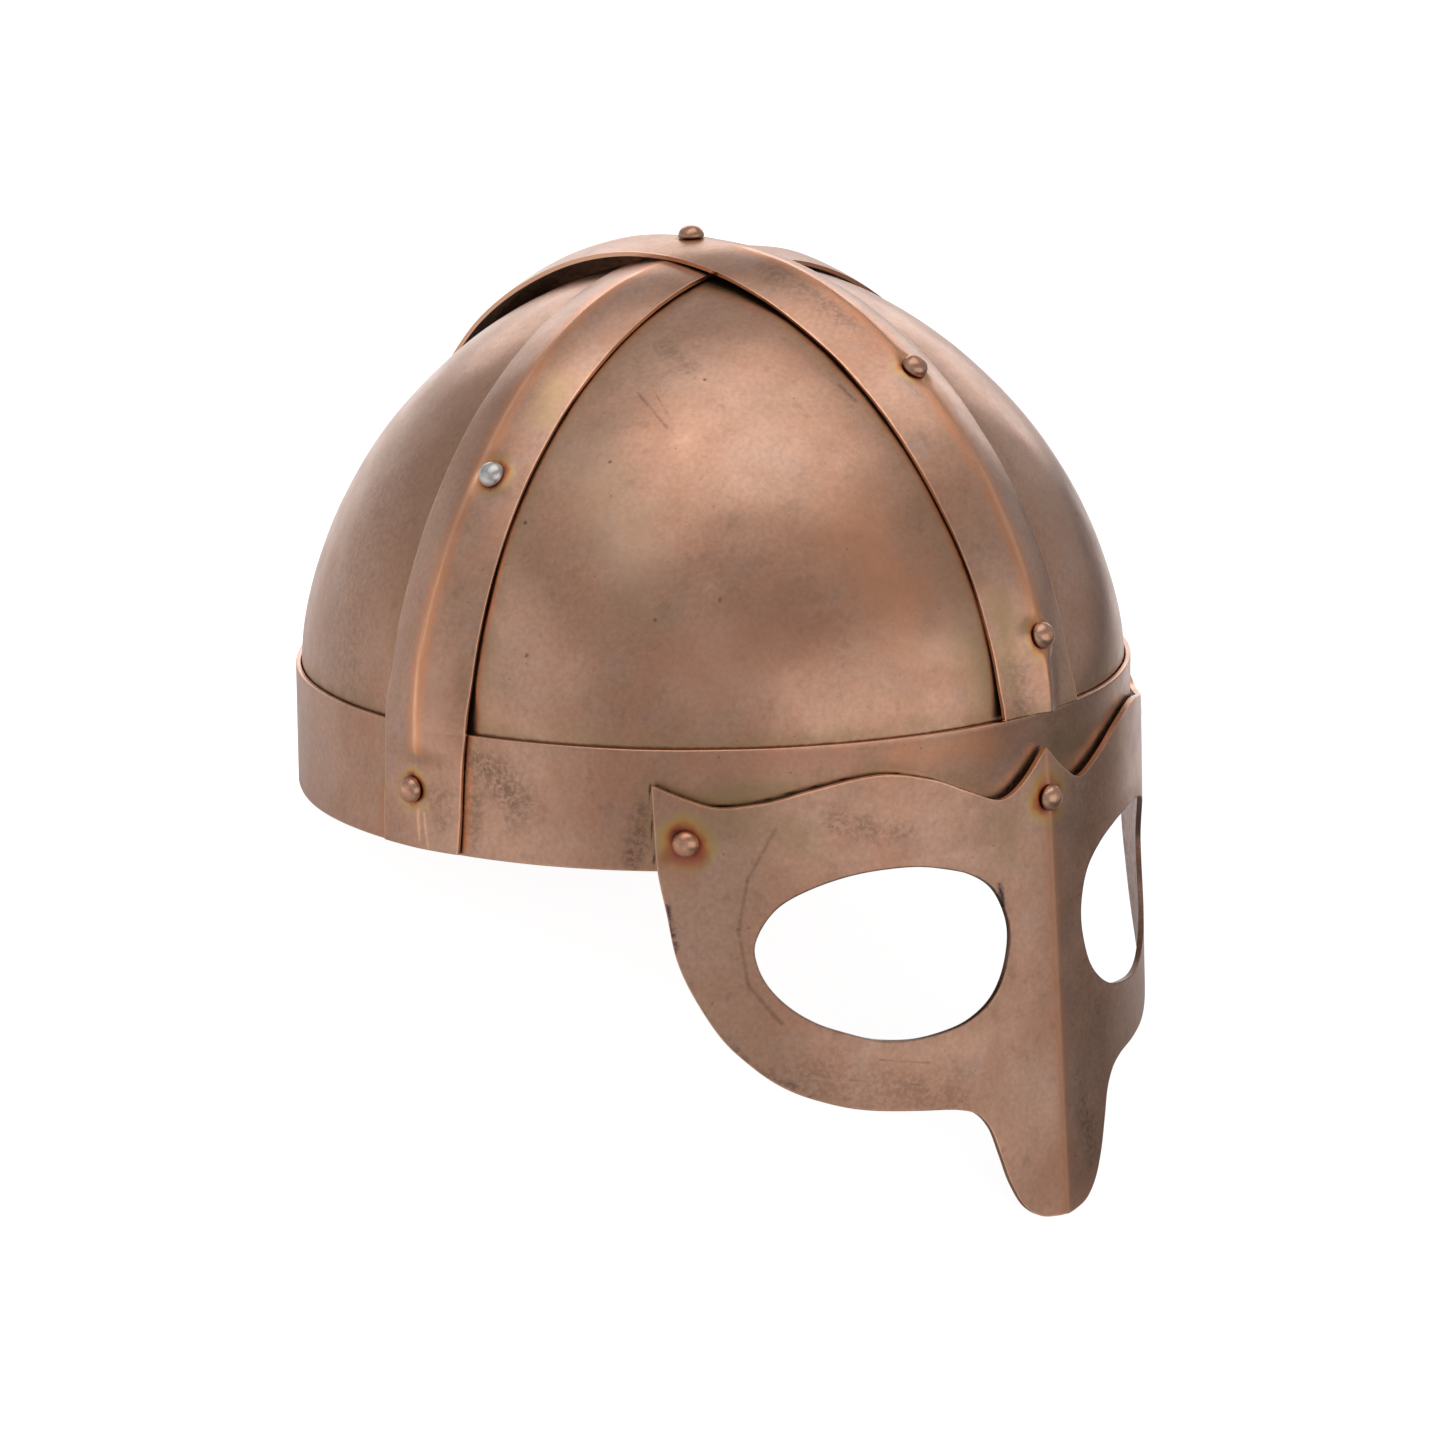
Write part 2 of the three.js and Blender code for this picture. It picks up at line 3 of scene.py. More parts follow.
import bmesh
import bpy
import numpy as np
from mathutils import Matrix, Vector


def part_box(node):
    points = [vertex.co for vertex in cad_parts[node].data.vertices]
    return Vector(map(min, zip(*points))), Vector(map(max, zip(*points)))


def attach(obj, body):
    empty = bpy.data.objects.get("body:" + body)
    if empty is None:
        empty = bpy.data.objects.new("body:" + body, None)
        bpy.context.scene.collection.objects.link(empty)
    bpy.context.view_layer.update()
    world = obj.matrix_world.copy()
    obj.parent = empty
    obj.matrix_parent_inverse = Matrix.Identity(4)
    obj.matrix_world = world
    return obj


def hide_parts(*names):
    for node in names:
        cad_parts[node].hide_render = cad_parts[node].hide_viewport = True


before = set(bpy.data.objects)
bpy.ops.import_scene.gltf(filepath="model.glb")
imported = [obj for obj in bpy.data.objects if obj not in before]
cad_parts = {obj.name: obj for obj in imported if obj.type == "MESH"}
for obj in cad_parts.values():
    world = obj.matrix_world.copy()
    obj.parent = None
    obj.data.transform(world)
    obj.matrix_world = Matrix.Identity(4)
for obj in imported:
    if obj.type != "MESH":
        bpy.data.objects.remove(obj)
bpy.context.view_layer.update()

# Every shape is worked out upright, in millimetres: face towards -Y, wearer's left towards +X and the
# rim of the brow band at height 0. The last step tips it back to the way it lies, in metres.
mm = 0.001
gap = 0.3       # what touching pieces keep between them
far = 99.0      # a distance that no wear reaches

bandForm = {
    "halfWidth": 112, "halfLength": 118,          # outside, at its top edge
    "rimHalfWidth": 115, "rimHalfLength": 115.4,  # outside, at the rim
    "height": 32.5, "sheet": 1.5,
    "unevenTop": 0.13,                            # how far its hand-cut top edge wanders
    "columns": 640, "rows": 24,
}
skullForm = {
    "height": 141.7, "fullness": 1.7, "sheet": 1.2, "seam": 1.2, "rimInset": 1.5,
    "dents": 0.14,                                # depth of the hammer's slow waves
    "columns": 120, "bandRows": 8, "domeRows": 120,
}
strapForm = {
    "width": 29, "sheet": 1.2, "ridge": 4.3, "lift": 4, "sideFootInset": 0.5,
    "ridgeRound": 0.05,                           # share of the half width that the ridge is rounded over
    "uneven": 0.22,                               # how far its edges wander
    "droop": 0.9, "farDroop": 0.6,                # share of the lift lost at the front's near edge and at the far one
    "footTaper": 0.085,                           # share of the width that the side strap's feet are narrower by
    "dish": 0.12, "dishReach": 7.5,               # how the metal is drawn down round a rivet
    "lines": 44, "stations": 460,
}
maskForm = {
    "sheet": 1.5, "lift": 0.5, "halfSpan": 115.3, "rise": 23.7,
    "cheekDrop": 70, "nasalDrop": 105.2, "nasalHalfWidth": 23,
    "forwardLean": 0.047, "inwardLean": 0.05,
    "crease": 1.9, "creaseHalfWidth": 21, "creaseRound": 1.4,
    "eyeWidth": 74, "eyeHeight": 47, "eyeSide": 53, "eyeDrop": 25.1,
    "uneven": 0.07, "dents": 0.1,
    "topSteps": 110, "outerSteps": 190, "middleSteps": 84, "rings": 36,
}
rivetForm = {
    "headRadius": 3.6, "headHeight": 3, "shankRadius": 1.7, "tailRadius": 3, "tailHeight": 1.4, "tailFlat": 0.6,
    "uneven": 0.05, "sides": 48, "headSteps": 14,
}

# Straps along their run. place is 0 at the rim, 1 at the band's top edge and 2 at the crown. onBand is
# the share of the band's thickness that the strap stands on, lift the share of its lift, ridge the share
# of its ridge, and pinch 1 for a plain V and more for a narrow bead.
crestRows = [
    # place, onBand, lift, ridge, pinch
    (1.0, 1.0, 0.0, 0.55, 4),
    (1.12, 0.15, 0.1, 0.8, 2),
    (1.25, 0, 0.2, 0.85, 1),
    (1.4, 0, 0.33, 0.85, 1),
    (1.6, 0, 0.46, 0.75, 1),
    (1.8, 0, 0.4, 0.85, 1),
    (2.0, 0, 0.92, 0.2, 1),
    (2.15, 0, 1.0, 0.45, 1),
    (2.4, 0, 0.95, 0.8, 1),
    (2.56, 0, 0.3, 0.85, 1),
    (2.75, 0, 0.15, 0.85, 1),
    (2.88, 0.15, 0.1, 0.8, 2),
    (3.0, 1.0, 0.0, 0.55, 4),
]
sideRows = [
    # place, onBand, lift, ridge, pinch
    (0, 1, 0.03, 0.1, 1),
    (0.35, 1, 0.05, 0.12, 1),
    (0.7, 1, 0.06, 0.15, 1),
    (0.85, 1, 0.08, 0.58, 1),
    (1.0, 1, 0.08, 0.67, 1),
    (1.14, 0.6, 0.06, 0.85, 1),
    (1.27, 0.1, 0.16, 0.8, 1),
    (1.42, 0, 0.18, 0.6, 1),
    (1.6, 0, 0.15, 0.75, 1),
    (1.77, 0, 0.12, 0.65, 1),
    (1.9, 0, 0.1, 0.35, 1),
    (2.0, 0, 0.1, 0.2, 1),
]
strapRows = {"crest": crestRows, "side": sideRows + [(4 - row[0],) + row[1:] for row in sideRows[-2::-1]]}

# Half of the mask's outline: shares of its half span and rise, then of the cheek's drop, then the nasal's
# shares of its half width and of the way from the cheek's drop to the tip.
maskTopEdge = [(0, 0.97), (0.069, 0.665), (0.119, 0.52), (0.155, 0.5), (0.25, 0.685), (0.345, 0.88),
               (0.475, 1), (0.64, 0.89), (0.76, 0.77), (0.85, 0.745), (0.92, 0.84), (1, 1)]
maskCheekEdge = [(0.99, 0), (0.977, 0.15), (0.96, 0.34), (0.922, 0.5), (0.863, 0.66), (0.755, 0.82),
                 (0.646, 0.905), (0.535, 0.95), (0.41, 0.976), (0.306, 1)]
maskNasalEdge = [(1.31, 0.06), (1.13, 0.19), (1, 0.41), (0.87, 0.645), (0.68, 0.85), (0.44, 0.96),
                 (0.2, 0.992), (0, 1)]
# An eye hole round its middle, from the temple over the top: shares of half its width and height.
eyeEdge = [(1, 0.25), (0.83, 0.64), (0.58, 0.84), (0.25, 0.97), (-0.08, 0.99), (-0.38, 0.93), (-0.66, 0.79),
           (-0.88, 0.55), (-1, 0.11), (-0.96, -0.33), (-0.84, -0.65), (-0.6, -0.89), (-0.17, -1),
           (0.13, -0.97), (0.38, -0.85), (0.58, -0.72), (0.77, -0.53), (0.92, -0.27), (0.99, -0.02)]
# The hand-cut holes don't quite match: side, share of the width nearer the nose, share of the height lower.
eyeHoles = [(-1, 0, 0), (1, 0.025, 0.05)]

# Rivets of the straps: strap, place along it, share of its half width off the middle.
strapRivets = {
    "rivet_crown": ("crest", 2.022, 0),
    "rivet_crest_front_upper": ("crest", 1.58, 0),
    "rivet_crest_front_lower": ("crest", 1.147, 0),
    "rivet_crest_rear_upper": ("crest", 2.57, 0),
    "rivet_crest_rear_lower": ("crest", 2.85, 0),
    "rivet_side_right_upper": ("side", 1.428, -0.32),
    "rivet_side_right_lower": ("side", 0.49, 0.17),
    "rivet_side_left_upper": ("side", 2.59, 0),
    "rivet_side_left_lower": ("side", 3.49, 0),
}
# Rivets through the mask: shares of its half span and of its rise.
maskRivets = {
    "rivet_mask_centre": (0, 0.4),
    "rivet_mask_right": (-0.925, 0.35),
    "rivet_mask_left": (0.925, 0.35),
}

bandStack = bandForm["sheet"] + gap
domeHeight = skullForm["height"] - bandForm["height"]
strapHalfWidth = strapForm["width"] / 2
quarter = math.pi / 2


# 0 below low, 1 above high, and a smooth cubic between them.
def smoothStep(value, low, high):
    t = np.clip((value - low) / (high - low), 0, 1)
    return t * t * (3 - 2 * t)


# Slow hand-made waves: a sum of sines of the place along seeded directions, of about one size.
def slowWaves(points, depth, size, seed, count=9):
    rng = np.random.default_rng(seed)
    directions = rng.normal(size=(count, 3))
    directions /= np.linalg.norm(directions, axis=1)[:, None]
    lengths = size * rng.uniform(0.7, 1.6, count)
    phases = rng.uniform(0, 2 * np.pi, count)
    angles = points @ (directions * (2 * np.pi / lengths)[:, None]).T + phases
    return depth * np.sin(angles).sum(-1) / math.sqrt(count)


# The unit normals of a grid of points: its column step crossed with its row step.
def gridNormals(points):
    normals = np.cross(np.gradient(points, axis=0), np.gradient(points, axis=1))
    return normals / np.maximum(np.linalg.norm(normals, axis=-1, keepdims=True), 1e-12)


# A cubic through one column of a table, with slopes taken across the neighbouring rows.
def rowValue(rows, column, place):
    places = np.array([row[0] for row in rows], float)
    heights = np.array([row[column] for row in rows], float)
    before = np.maximum(np.arange(len(rows)) - 1, 0)
    after = np.minimum(np.arange(len(rows)) + 1, len(rows) - 1)
    slopes = (heights[after] - heights[before]) / (places[after] - places[before])
    k = np.clip(np.searchsorted(places, place, side="left") - 1, 0, len(rows) - 2)
    width = places[k + 1] - places[k]
    t = np.clip((place - places[k]) / width, 0, 1)
    near = heights[k] * (2 * t**3 - 3 * t**2 + 1)
    onward = heights[k + 1] * (3 * t**2 - 2 * t**3)
    return near + onward + width * (slopes[k] * (t**3 - 2 * t**2 + t) + slopes[k + 1] * (t**3 - t**2))


# Half sizes of the band's outside at a height between the rim and its top edge.
def bandHalves(z):
    share = np.clip(z / bandForm["height"], 0, 1)
    a = bandForm["rimHalfWidth"] + (bandForm["halfWidth"] - bandForm["rimHalfWidth"]) * share
    b = bandForm["rimHalfLength"] + (bandForm["halfLength"] - bandForm["rimHalfLength"]) * share
    return a, b


# A level ellipse's point, moved out along its own normal. Angle 0 is the front, a quarter the left.
def onEllipse(a, b, angle, z, out=0.0):
    a, b, angle, z, out = np.broadcast_arrays(a, b, angle, z, out)
    nx = np.sin(angle) / a
    ny = -np.cos(angle) / b
    length = np.hypot(nx, ny)
    return np.stack([a * np.sin(angle) + out * nx / length, -b * np.cos(angle) + out * ny / length, z], -1)


maskReach = maskForm["lift"] + maskForm["sheet"]
bandAtMaskTop = bandHalves(maskForm["rise"])
maskHalfWidth = max(bandForm["rimHalfWidth"], float(bandAtMaskTop[0])) + maskReach
maskHalfLength = max(bandForm["rimHalfLength"], float(bandAtMaskTop[1])) + maskReach


# A point of the mask: distance round from its middle, height, and depth in from its outside. The middle
# is drawn forward to a soft crease that dies away to both sides and towards the top edge.
def maskPoint(side, z, depth=0.0):
    side, z = np.broadcast_arrays(np.asarray(side, float), np.asarray(z, float))
    below = np.maximum(-z, 0)
    a = maskHalfWidth - maskForm["inwardLean"] * below
    b = maskHalfLength + maskForm["forwardLean"] * below
    points = onEllipse(a, b, side / ((maskHalfWidth + maskHalfLength) / 2), z, -depth)
    soft = np.hypot(side, maskForm["creaseRound"]) - maskForm["creaseRound"]
    crease = maskForm["crease"] * (1 - 0.75 * smoothStep(z, 0, maskForm["rise"]))
    points[..., 1] -= crease * np.maximum(0, 1 - soft / maskForm["creaseHalfWidth"]) ** 1.8
    return points


# Unworn, it lies on the tip of the nasal and the rear of the rim, which gives the tilt.
tipInside = maskPoint(0, -maskForm["nasalDrop"], maskForm["sheet"])
restTilt = -math.atan2(maskForm["nasalDrop"], bandForm["rimHalfLength"] - tipInside[1])
tiltRows = np.array(Matrix.Rotation(restTilt, 3, "X"))


def bandPoints(angle, z):
    a, b = bandHalves(z)
    return onEllipse(a, b, angle, z)


# Where the frame's band lies gives the shift from the upright place to the resting one.
bandCorners = bandPoints(np.linspace(0, 2 * np.pi, 721)[:, None], np.array([0, bandForm["height"]])) @ tiltRows.T
bandMiddle = (bandCorners.reshape(-1, 3).min(0) + bandCorners.reshape(-1, 3).max(0)) / 2
frameMiddle = np.array((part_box("brow_band")[0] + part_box("brow_band")[1]) / 2) / mm
restShift = frameMiddle - bandMiddle


# Upright millimetres to the resting place in metres: turn about X, then shift.
def atRest(points):
    return (points @ tiltRows.T + restShift) * mm


print("stage: resting place found, tilt", round(math.degrees(restTilt), 2))

# Camera, at the photograph's angle to the helmet

cameraView = {
    "azimuth": -47.405, "elevation": 13.655, "roll": -1.238,  # round the upright helmet, degrees
    "distance": 1855.66, "aimRight": 1.606, "aimUp": 12.366,  # millimetres
    "lens": 167.05, "sensor": 36,
}


def addCamera(view):
    azimuth, elevation, roll = (math.radians(view[key]) for key in ("azimuth", "elevation", "roll"))
    back = np.array([math.sin(azimuth) * math.cos(elevation), -math.cos(azimuth) * math.cos(elevation),
                     math.sin(elevation)])
    level = np.array([math.cos(azimuth), math.sin(azimuth), 0])
    upright = np.cross(back, level)
    right = math.cos(roll) * level + math.sin(roll) * upright
    up = -math.sin(roll) * level + math.cos(roll) * upright
    place = atRest(view["aimRight"] * right + view["aimUp"] * up + view["distance"] * back)
    turned = np.stack([right, up, back], 1)
    matrix = Matrix((tiltRows @ turned).tolist()).to_4x4()
    matrix.translation = Vector(place)
    data = bpy.data.cameras.new("camera")
    data.lens = view["lens"]
    data.sensor_width = view["sensor"]
    data.clip_start = 0.05
    data.clip_end = 50
    camera = bpy.data.objects.new("camera", data)
    bpy.context.scene.collection.objects.link(camera)
    camera.matrix_world = matrix
    bpy.context.scene.camera = camera


addCamera(cameraView)

# Meshes


# A mesh from arrays of places, quads and named values, one of each value for every point.
def meshFrom(name, points, quads, values):
    mesh = bpy.data.meshes.new(name)
    mesh.vertices.add(len(points))
    mesh.vertices.foreach_set("co", atRest(points).astype(np.float32).ravel())
    mesh.loops.add(quads.size)
    mesh.loops.foreach_set("vertex_index", quads.astype(np.int32).ravel())
    mesh.polygons.add(len(quads))
    mesh.polygons.foreach_set("loop_start", np.arange(0, quads.size, 4, dtype=np.int32))
    mesh.update(calc_edges=True)
    for key, amounts in values.items():
        mesh.attributes.new(key, "FLOAT", "POINT").data.foreach_set("value", amounts.astype(np.float32).ravel())
    work = bmesh.new()
    work.from_mesh(mesh)
    bmesh.ops.remove_doubles(work, verts=work.verts, dist=0.002 * mm)
    work.to_mesh(mesh)
    work.free()
    mesh.shade_smooth()
    return mesh


# The quads of a grid whose columns run to the right and rows up, seen from outside.
def gridQuads(columns, rows, closed=False, turned=False):
    index = np.arange(columns * rows).reshape(columns, rows)
    if closed:
        index = np.vstack([index, index[:1]])
    quads = np.stack([index[:-1, :-1], index[1:, :-1], index[1:, 1:], index[:-1, 1:]], -1).reshape(-1, 4)
    return quads[:, ::-1] if turned else quads


wearKeys = ("edge", "lap", "halo", "ridge")


# Grids joined into one piece. Each grid is its points, its wear values and whether it closes or is turned.
def pieceFrom(name, grids):
    points, quads, start = [], [], 0
    values = {key: [] for key in wearKeys}
    for grid in grids:
        columns, rows = grid["points"].shape[:2]
        quads.append(gridQuads(columns, rows, grid.get("closed"), grid.get("turned")) + start)
        points.append(grid["points"].reshape(-1, 3))
        start += columns * rows
        for key in wearKeys:
            values[key].append(np.broadcast_to(grid.get(key, far), (columns, rows)).ravel())
    joined = {key: np.concatenate(amounts) for key, amounts in values.items()}
    mesh = meshFrom(name, np.concatenate(points), np.concatenate(quads), joined)
    piece = bpy.data.objects.new(name, mesh)
    bpy.context.scene.collection.objects.link(piece)
    return piece


# Gives an open surface its sheet, inwards, and rounds the cut edges. Its inner face gets the second finish.
def thicken(piece, sheet, rounding=0.32):
    solid = piece.modifiers.new("sheet", "SOLIDIFY")
    solid.thickness = sheet * mm
    solid.offset = -1
    solid.use_even_offset = True
    solid.material_offset = 1
    bevel = piece.modifiers.new("edges", "BEVEL")
    bevel.width = rounding * mm
    bevel.segments = 2
    bevel.limit_method = "ANGLE"
    bevel.angle_limit = math.radians(50)
    piece.modifiers.new("normals", "WEIGHTED_NORMAL")


def finishPiece(piece, node, slot, *materials):
    for material in materials:
        piece.data.materials.append(material)
    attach(piece, "root")
    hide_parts(node)


# Straps


# Points and normals on the skull's outside under a strap, at distances across it and places along it.
def underStrap(strap, across, place):
    below = np.maximum(np.maximum(1 - place, place - 3), 0)
    turn = np.clip(place - 1, 0, 2) * quarter
    height = bandForm["height"] * (1 - below)
    a, b = bandHalves(height)
    a, b = a - bandStack, b - bandStack
    narrow = np.sqrt(1 - (across / (a if strap == "crest" else b)) ** 2)
    power = 2 / skullForm["fullness"]
    share = np.where(below > 0, 0, np.maximum(narrow * np.sin(turn), 0) ** power)
    z = np.where(below > 0, height, bandForm["height"] + domeHeight * share)
    along = narrow * np.cos(turn)
    x, y = (across + 0 * along, -b * along) if strap == "crest" else (-a * along, across + 0 * along)
    rise = skullForm["fullness"] * share ** (skullForm["fullness"] - 1) / domeHeight
    aTop, bTop = bandForm["halfWidth"] - bandStack, bandForm["halfLength"] - bandStack
    normal = np.stack([2 * x / aTop**2, 2 * y / bTop**2, rise], -1)
    normal /= np.linalg.norm(normal, axis=-1, keepdims=True)
    return np.stack([x, y, z], -1), normal


# Height of a strap's outside above the skull: what it stands on, its sheet, and a ridge that falls off
# from its middle line, rounded on top. Above the band its edges are pressed down to the skull.
def strapHeight(strap, place, line):
    rows = strapRows[strap]
    near = strapForm["droop"] * (1 - 0.8 * smoothStep(place, 1.72, 1.88)) * (1 - smoothStep(place, 1.9, 2.15))
    droop = np.where(line > 0, strapForm["farDroop"], near)
    lift = rowValue(rows, 2, place) * (1 - droop * line**2)
    pressed = 0.75 * line**4 * smoothStep(np.minimum(place, 4 - place), 1.03, 1.12)
    carrier = bandStack * rowValue(rows, 1, place) * (1 - pressed) + strapForm["lift"] * lift
    soft = strapForm["ridgeRound"]
    ratio = (np.hypot(line, soft) - soft) / (math.hypot(1, soft) - soft)
    fall = np.maximum(1 - ratio, 0) ** rowValue(rows, 4, place)
    ridge = strapForm["ridge"] * rowValue(rows, 3, place) * fall
    return carrier + gap + strapForm["sheet"] + ridge


# The side strap narrows a little towards its feet: its share of the full width, 0 at the rim and 1 at the
# band's top edge.
def footShare(strap, place):
    return 1 - (strapForm["footTaper"] * (1 - smoothStep(place, -0.4, 1.5)) / 0.86 if strap == "side" else 0)


def onStrap(strap, line, place):
    line, place = np.broadcast_arrays(np.asarray(line, float), np.asarray(place, float))
    point, normal = underStrap(strap, line * strapHalfWidth, place)
    return point + normal * strapHeight(strap, place, line)[..., None]


def unit(vector):
    return vector / np.linalg.norm(vector)


# Each rivet's seat, axis and grip. On a strap the axis is square to the run and leans halfway to the
# strap's own face. On the mask it is square to the sheet.
def rivetSeats():
    seats = {}
    for node, (strap, place, aside) in strapRivets.items():
        seat = onStrap(strap, aside, place)
        nearPlace = rivetForm["headRadius"] / (2 * bandForm["height"])
        nearLine = rivetForm["headRadius"] / strapHalfWidth
        run = onStrap(strap, aside, place + nearPlace) - onStrap(strap, aside, place - nearPlace)
        width = onStrap(strap, aside + nearLine, place) - onStrap(strap, aside - nearLine, place)
        face = unit(np.cross(run, width))
        point, normal = underStrap(strap, np.array(aside * strapHalfWidth), np.array(float(place)))
        upright = unit(normal - unit(run) * normal.dot(unit(run)))
        axis = unit(upright + face * math.copysign(1, face.dot(upright)))
        slant = math.acos(min(normal.dot(axis), 1))
        through = (np.linalg.norm(seat - point) + skullForm["sheet"]) / math.cos(slant)
        seats[node] = {"seat": seat, "axis": axis, "grip": through + rivetForm["tailRadius"] * math.tan(slant),
                       "strap": strap}
    for node, (side, up) in maskRivets.items():
        seat = maskPoint(side * maskForm["halfSpan"], up * maskForm["rise"])
        axis = unit(seat - maskPoint(side * maskForm["halfSpan"], up * maskForm["rise"], maskForm["sheet"]))
        a, b = bandHalves(seat[2])
        inside = bandStack + skullForm["sheet"]
        scaled = seat[:2] / [a - inside, b - inside]
        inward = -axis[:2] / [a - inside, b - inside]
        half = scaled.dot(inward) / inward.dot(inward)
        grip = -half - math.sqrt(half**2 - (scaled.dot(scaled) - 1) / inward.dot(inward))
        seats[node] = {"seat": seat, "axis": axis, "grip": grip, "strap": "mask"}
    return seats


seats = rivetSeats()


# Distance from each point to the nearest of some rivets.
def fromRivets(points, strap):
    found = [np.linalg.norm(points - seat["seat"], axis=-1) for seat in seats.values() if seat["strap"] == strap]
    return np.min(found, axis=0)


# One strap: its middle line carried over the skull with a V section, drawn down a little round each
# rivet, with edges that wander. Lines crowd towards the ridge and the edges.
def strapPiece(strap, firstPlace):
    spread = np.linspace(-1, 1, strapForm["lines"] + 1)
    lines = (spread - 0.4 * np.sin(2 * np.pi * spread) / np.pi)[:, None]
    places = np.linspace(firstPlace, 4 - firstPlace, strapForm["stations"] + 1)[None, :]
    if strap == "side":
        lines = lines[::-1]
    seed = 11 if strap == "crest" else 12
    along, side = np.broadcast_arrays(places * 60, np.sign(lines) * 30)
    walk = np.stack([along, side, 0 * side], -1)
    wander = slowWaves(walk, strapForm["uneven"] / strapHalfWidth, 26, seed)
    across = lines * (1 + wander * np.abs(lines)) * footShare(strap, np.minimum(places, 4 - places))
    point, normal = underStrap(strap, across * strapHalfWidth, places + 0 * lines)
    height = strapHeight(strap, places + 0 * lines, across)
    surface = point + normal * height[..., None]
    for seat in (seat for seat in seats.values() if seat["strap"] == strap):
        base = seat["seat"] - point
        level = (base * normal).sum(-1) - strapForm["dish"]
        away = np.linalg.norm(surface - seat["seat"], axis=-1)
        pull = 1 - smoothStep(away, rivetForm["headRadius"], strapForm["dishReach"])
        height = height + (level - height) * pull * 0.85
    height = height + slowWaves(point, 0.06, 18, seed + 20)
    surface = point + normal * height[..., None]
    ends = np.minimum(places - firstPlace, 4 - firstPlace - places) * bandForm["height"]
    if strap == "crest":
        ends = ends * 4
    # Where the ridge is low or pinched to a bead its distance is pushed out, so the bright wear and painted highlight
    # on the ridge fade.
    faint = 7 * (1 - smoothStep(rowValue(strapRows[strap], 3, places), 0.1, 0.5))
    faint = faint + 1.2 * (rowValue(strapRows[strap], 4, places) - 1)
    return pieceFrom(strap + "Strap", [{
        "points": surface,
        "edge": (1 - np.abs(lines)) * strapHalfWidth + 0 * ends,
        "lap": ends + 0 * lines if strap == "crest" else
        np.where(surface[..., 2] > bandForm["height"] * 2, np.abs(surface[..., 0]) - strapHalfWidth, far),
        "ridge": np.abs(across) * strapHalfWidth + faint,
        "halo": fromRivets(surface, strap),
    }])


# Skull


# The skull's outside: an ellipse behind the band, then (x/a)^2 + (y/b)^2 + (height share)^fullness = 1.
# Each plate is cut back from both seams by half the seam's width.
def platePiece(name, right, rear):
    seam = skullForm["seam"] / 2
    low = np.linspace(skullForm["rimInset"], bandForm["height"], skullForm["bandRows"], endpoint=False)
    last = math.acos(2 * seam / (bandForm["halfWidth"] - bandStack))
    turn = np.concatenate([0 * low, np.linspace(0, last, skullForm["domeRows"])])
    z = np.concatenate([low, bandForm["height"] + domeHeight * np.sin(turn[len(low):]) ** (2 / skullForm["fullness"])])
    a, b = bandHalves(z)
    a, b = (a - bandStack) * np.cos(turn), (b - bandStack) * np.cos(turn)
    first, final = np.arcsin(seam / a), np.arccos(seam / b)
    share = np.linspace(0, 1, skullForm["columns"])[:, None]
    angle = first + (final - first) * share
    surface = onEllipse(a, b, angle, z + 0 * angle)
    surface *= [-1 if right else 1, -1 if rear else 1, 1]
    if right != rear:
        surface = surface[::-1]
    free = smoothStep(surface[..., 2], bandForm["height"], bandForm["height"] + 25)
    seed = 31 + 2 * right + rear
    dents = slowWaves(surface, skullForm["dents"], 42, seed) + slowWaves(surface, 0.25 * skullForm["dents"], 15, seed + 7)
    surface += gridNormals(surface) * (free * np.minimum(dents, 0.3))[..., None]
    toCrest = np.abs(surface[..., 0]) - strapHalfWidth
    toSide = np.abs(surface[..., 1]) - strapHalfWidth
    toBand = surface[..., 2] - bandForm["height"]
    return pieceFrom(name, [{
        "points": surface,
        "lap": np.minimum(np.minimum(toCrest, toSide), toBand),
        "halo": np.minimum(fromRivets(surface, "crest"), fromRivets(surface, "side")),
    }])


# Mask


# A centripetal spline through points, sampled at even steps along its length.
def splinePoints(points, steps, closed=False):
    points = np.array(points, float)
    if closed:
        ring = np.vstack([points[-1:], points, points[:2]])
    else:
        ring = np.vstack([2 * points[:1] - points[1:2], points, 2 * points[-1:] - points[-2:-1]])
    gaps = np.maximum(np.linalg.norm(np.diff(ring, axis=0), axis=1), 1e-6) ** 0.5
    before, here, after = gaps[:-2, None], gaps[1:-1, None], gaps[2:, None]
    p0, p1, p2, p3 = ring[:-3], ring[1:-2], ring[2:-1], ring[3:]
    slope1 = ((p1 - p0) / before - (p2 - p0) / (before + here) + (p2 - p1) / here) * here
    slope2 = ((p2 - p1) / here - (p3 - p1) / (here + after) + (p3 - p2) / after) * here
    t = np.linspace(0, 1, 40, endpoint=False)[None, :, None]
    p1, p2, slope1, slope2 = (part[:, None] for part in (p1, p2, slope1, slope2))
    fine = p1 * (2 * t**3 - 3 * t**2 + 1) + p2 * (3 * t**2 - 2 * t**3)
    fine = fine + slope1 * (t**3 - 2 * t**2 + t) + slope2 * (t**3 - t**2)
    fine = np.vstack([fine.reshape(-1, 2), ring[-2:-1]])
    length = np.concatenate([[0], np.cumsum(np.linalg.norm(np.diff(fine, axis=0), axis=1))])
    wanted = np.linspace(0, length[-1], steps + 1)
    return np.stack([np.interp(wanted, length, fine[:, k]) for k in (0, 1)], -1)


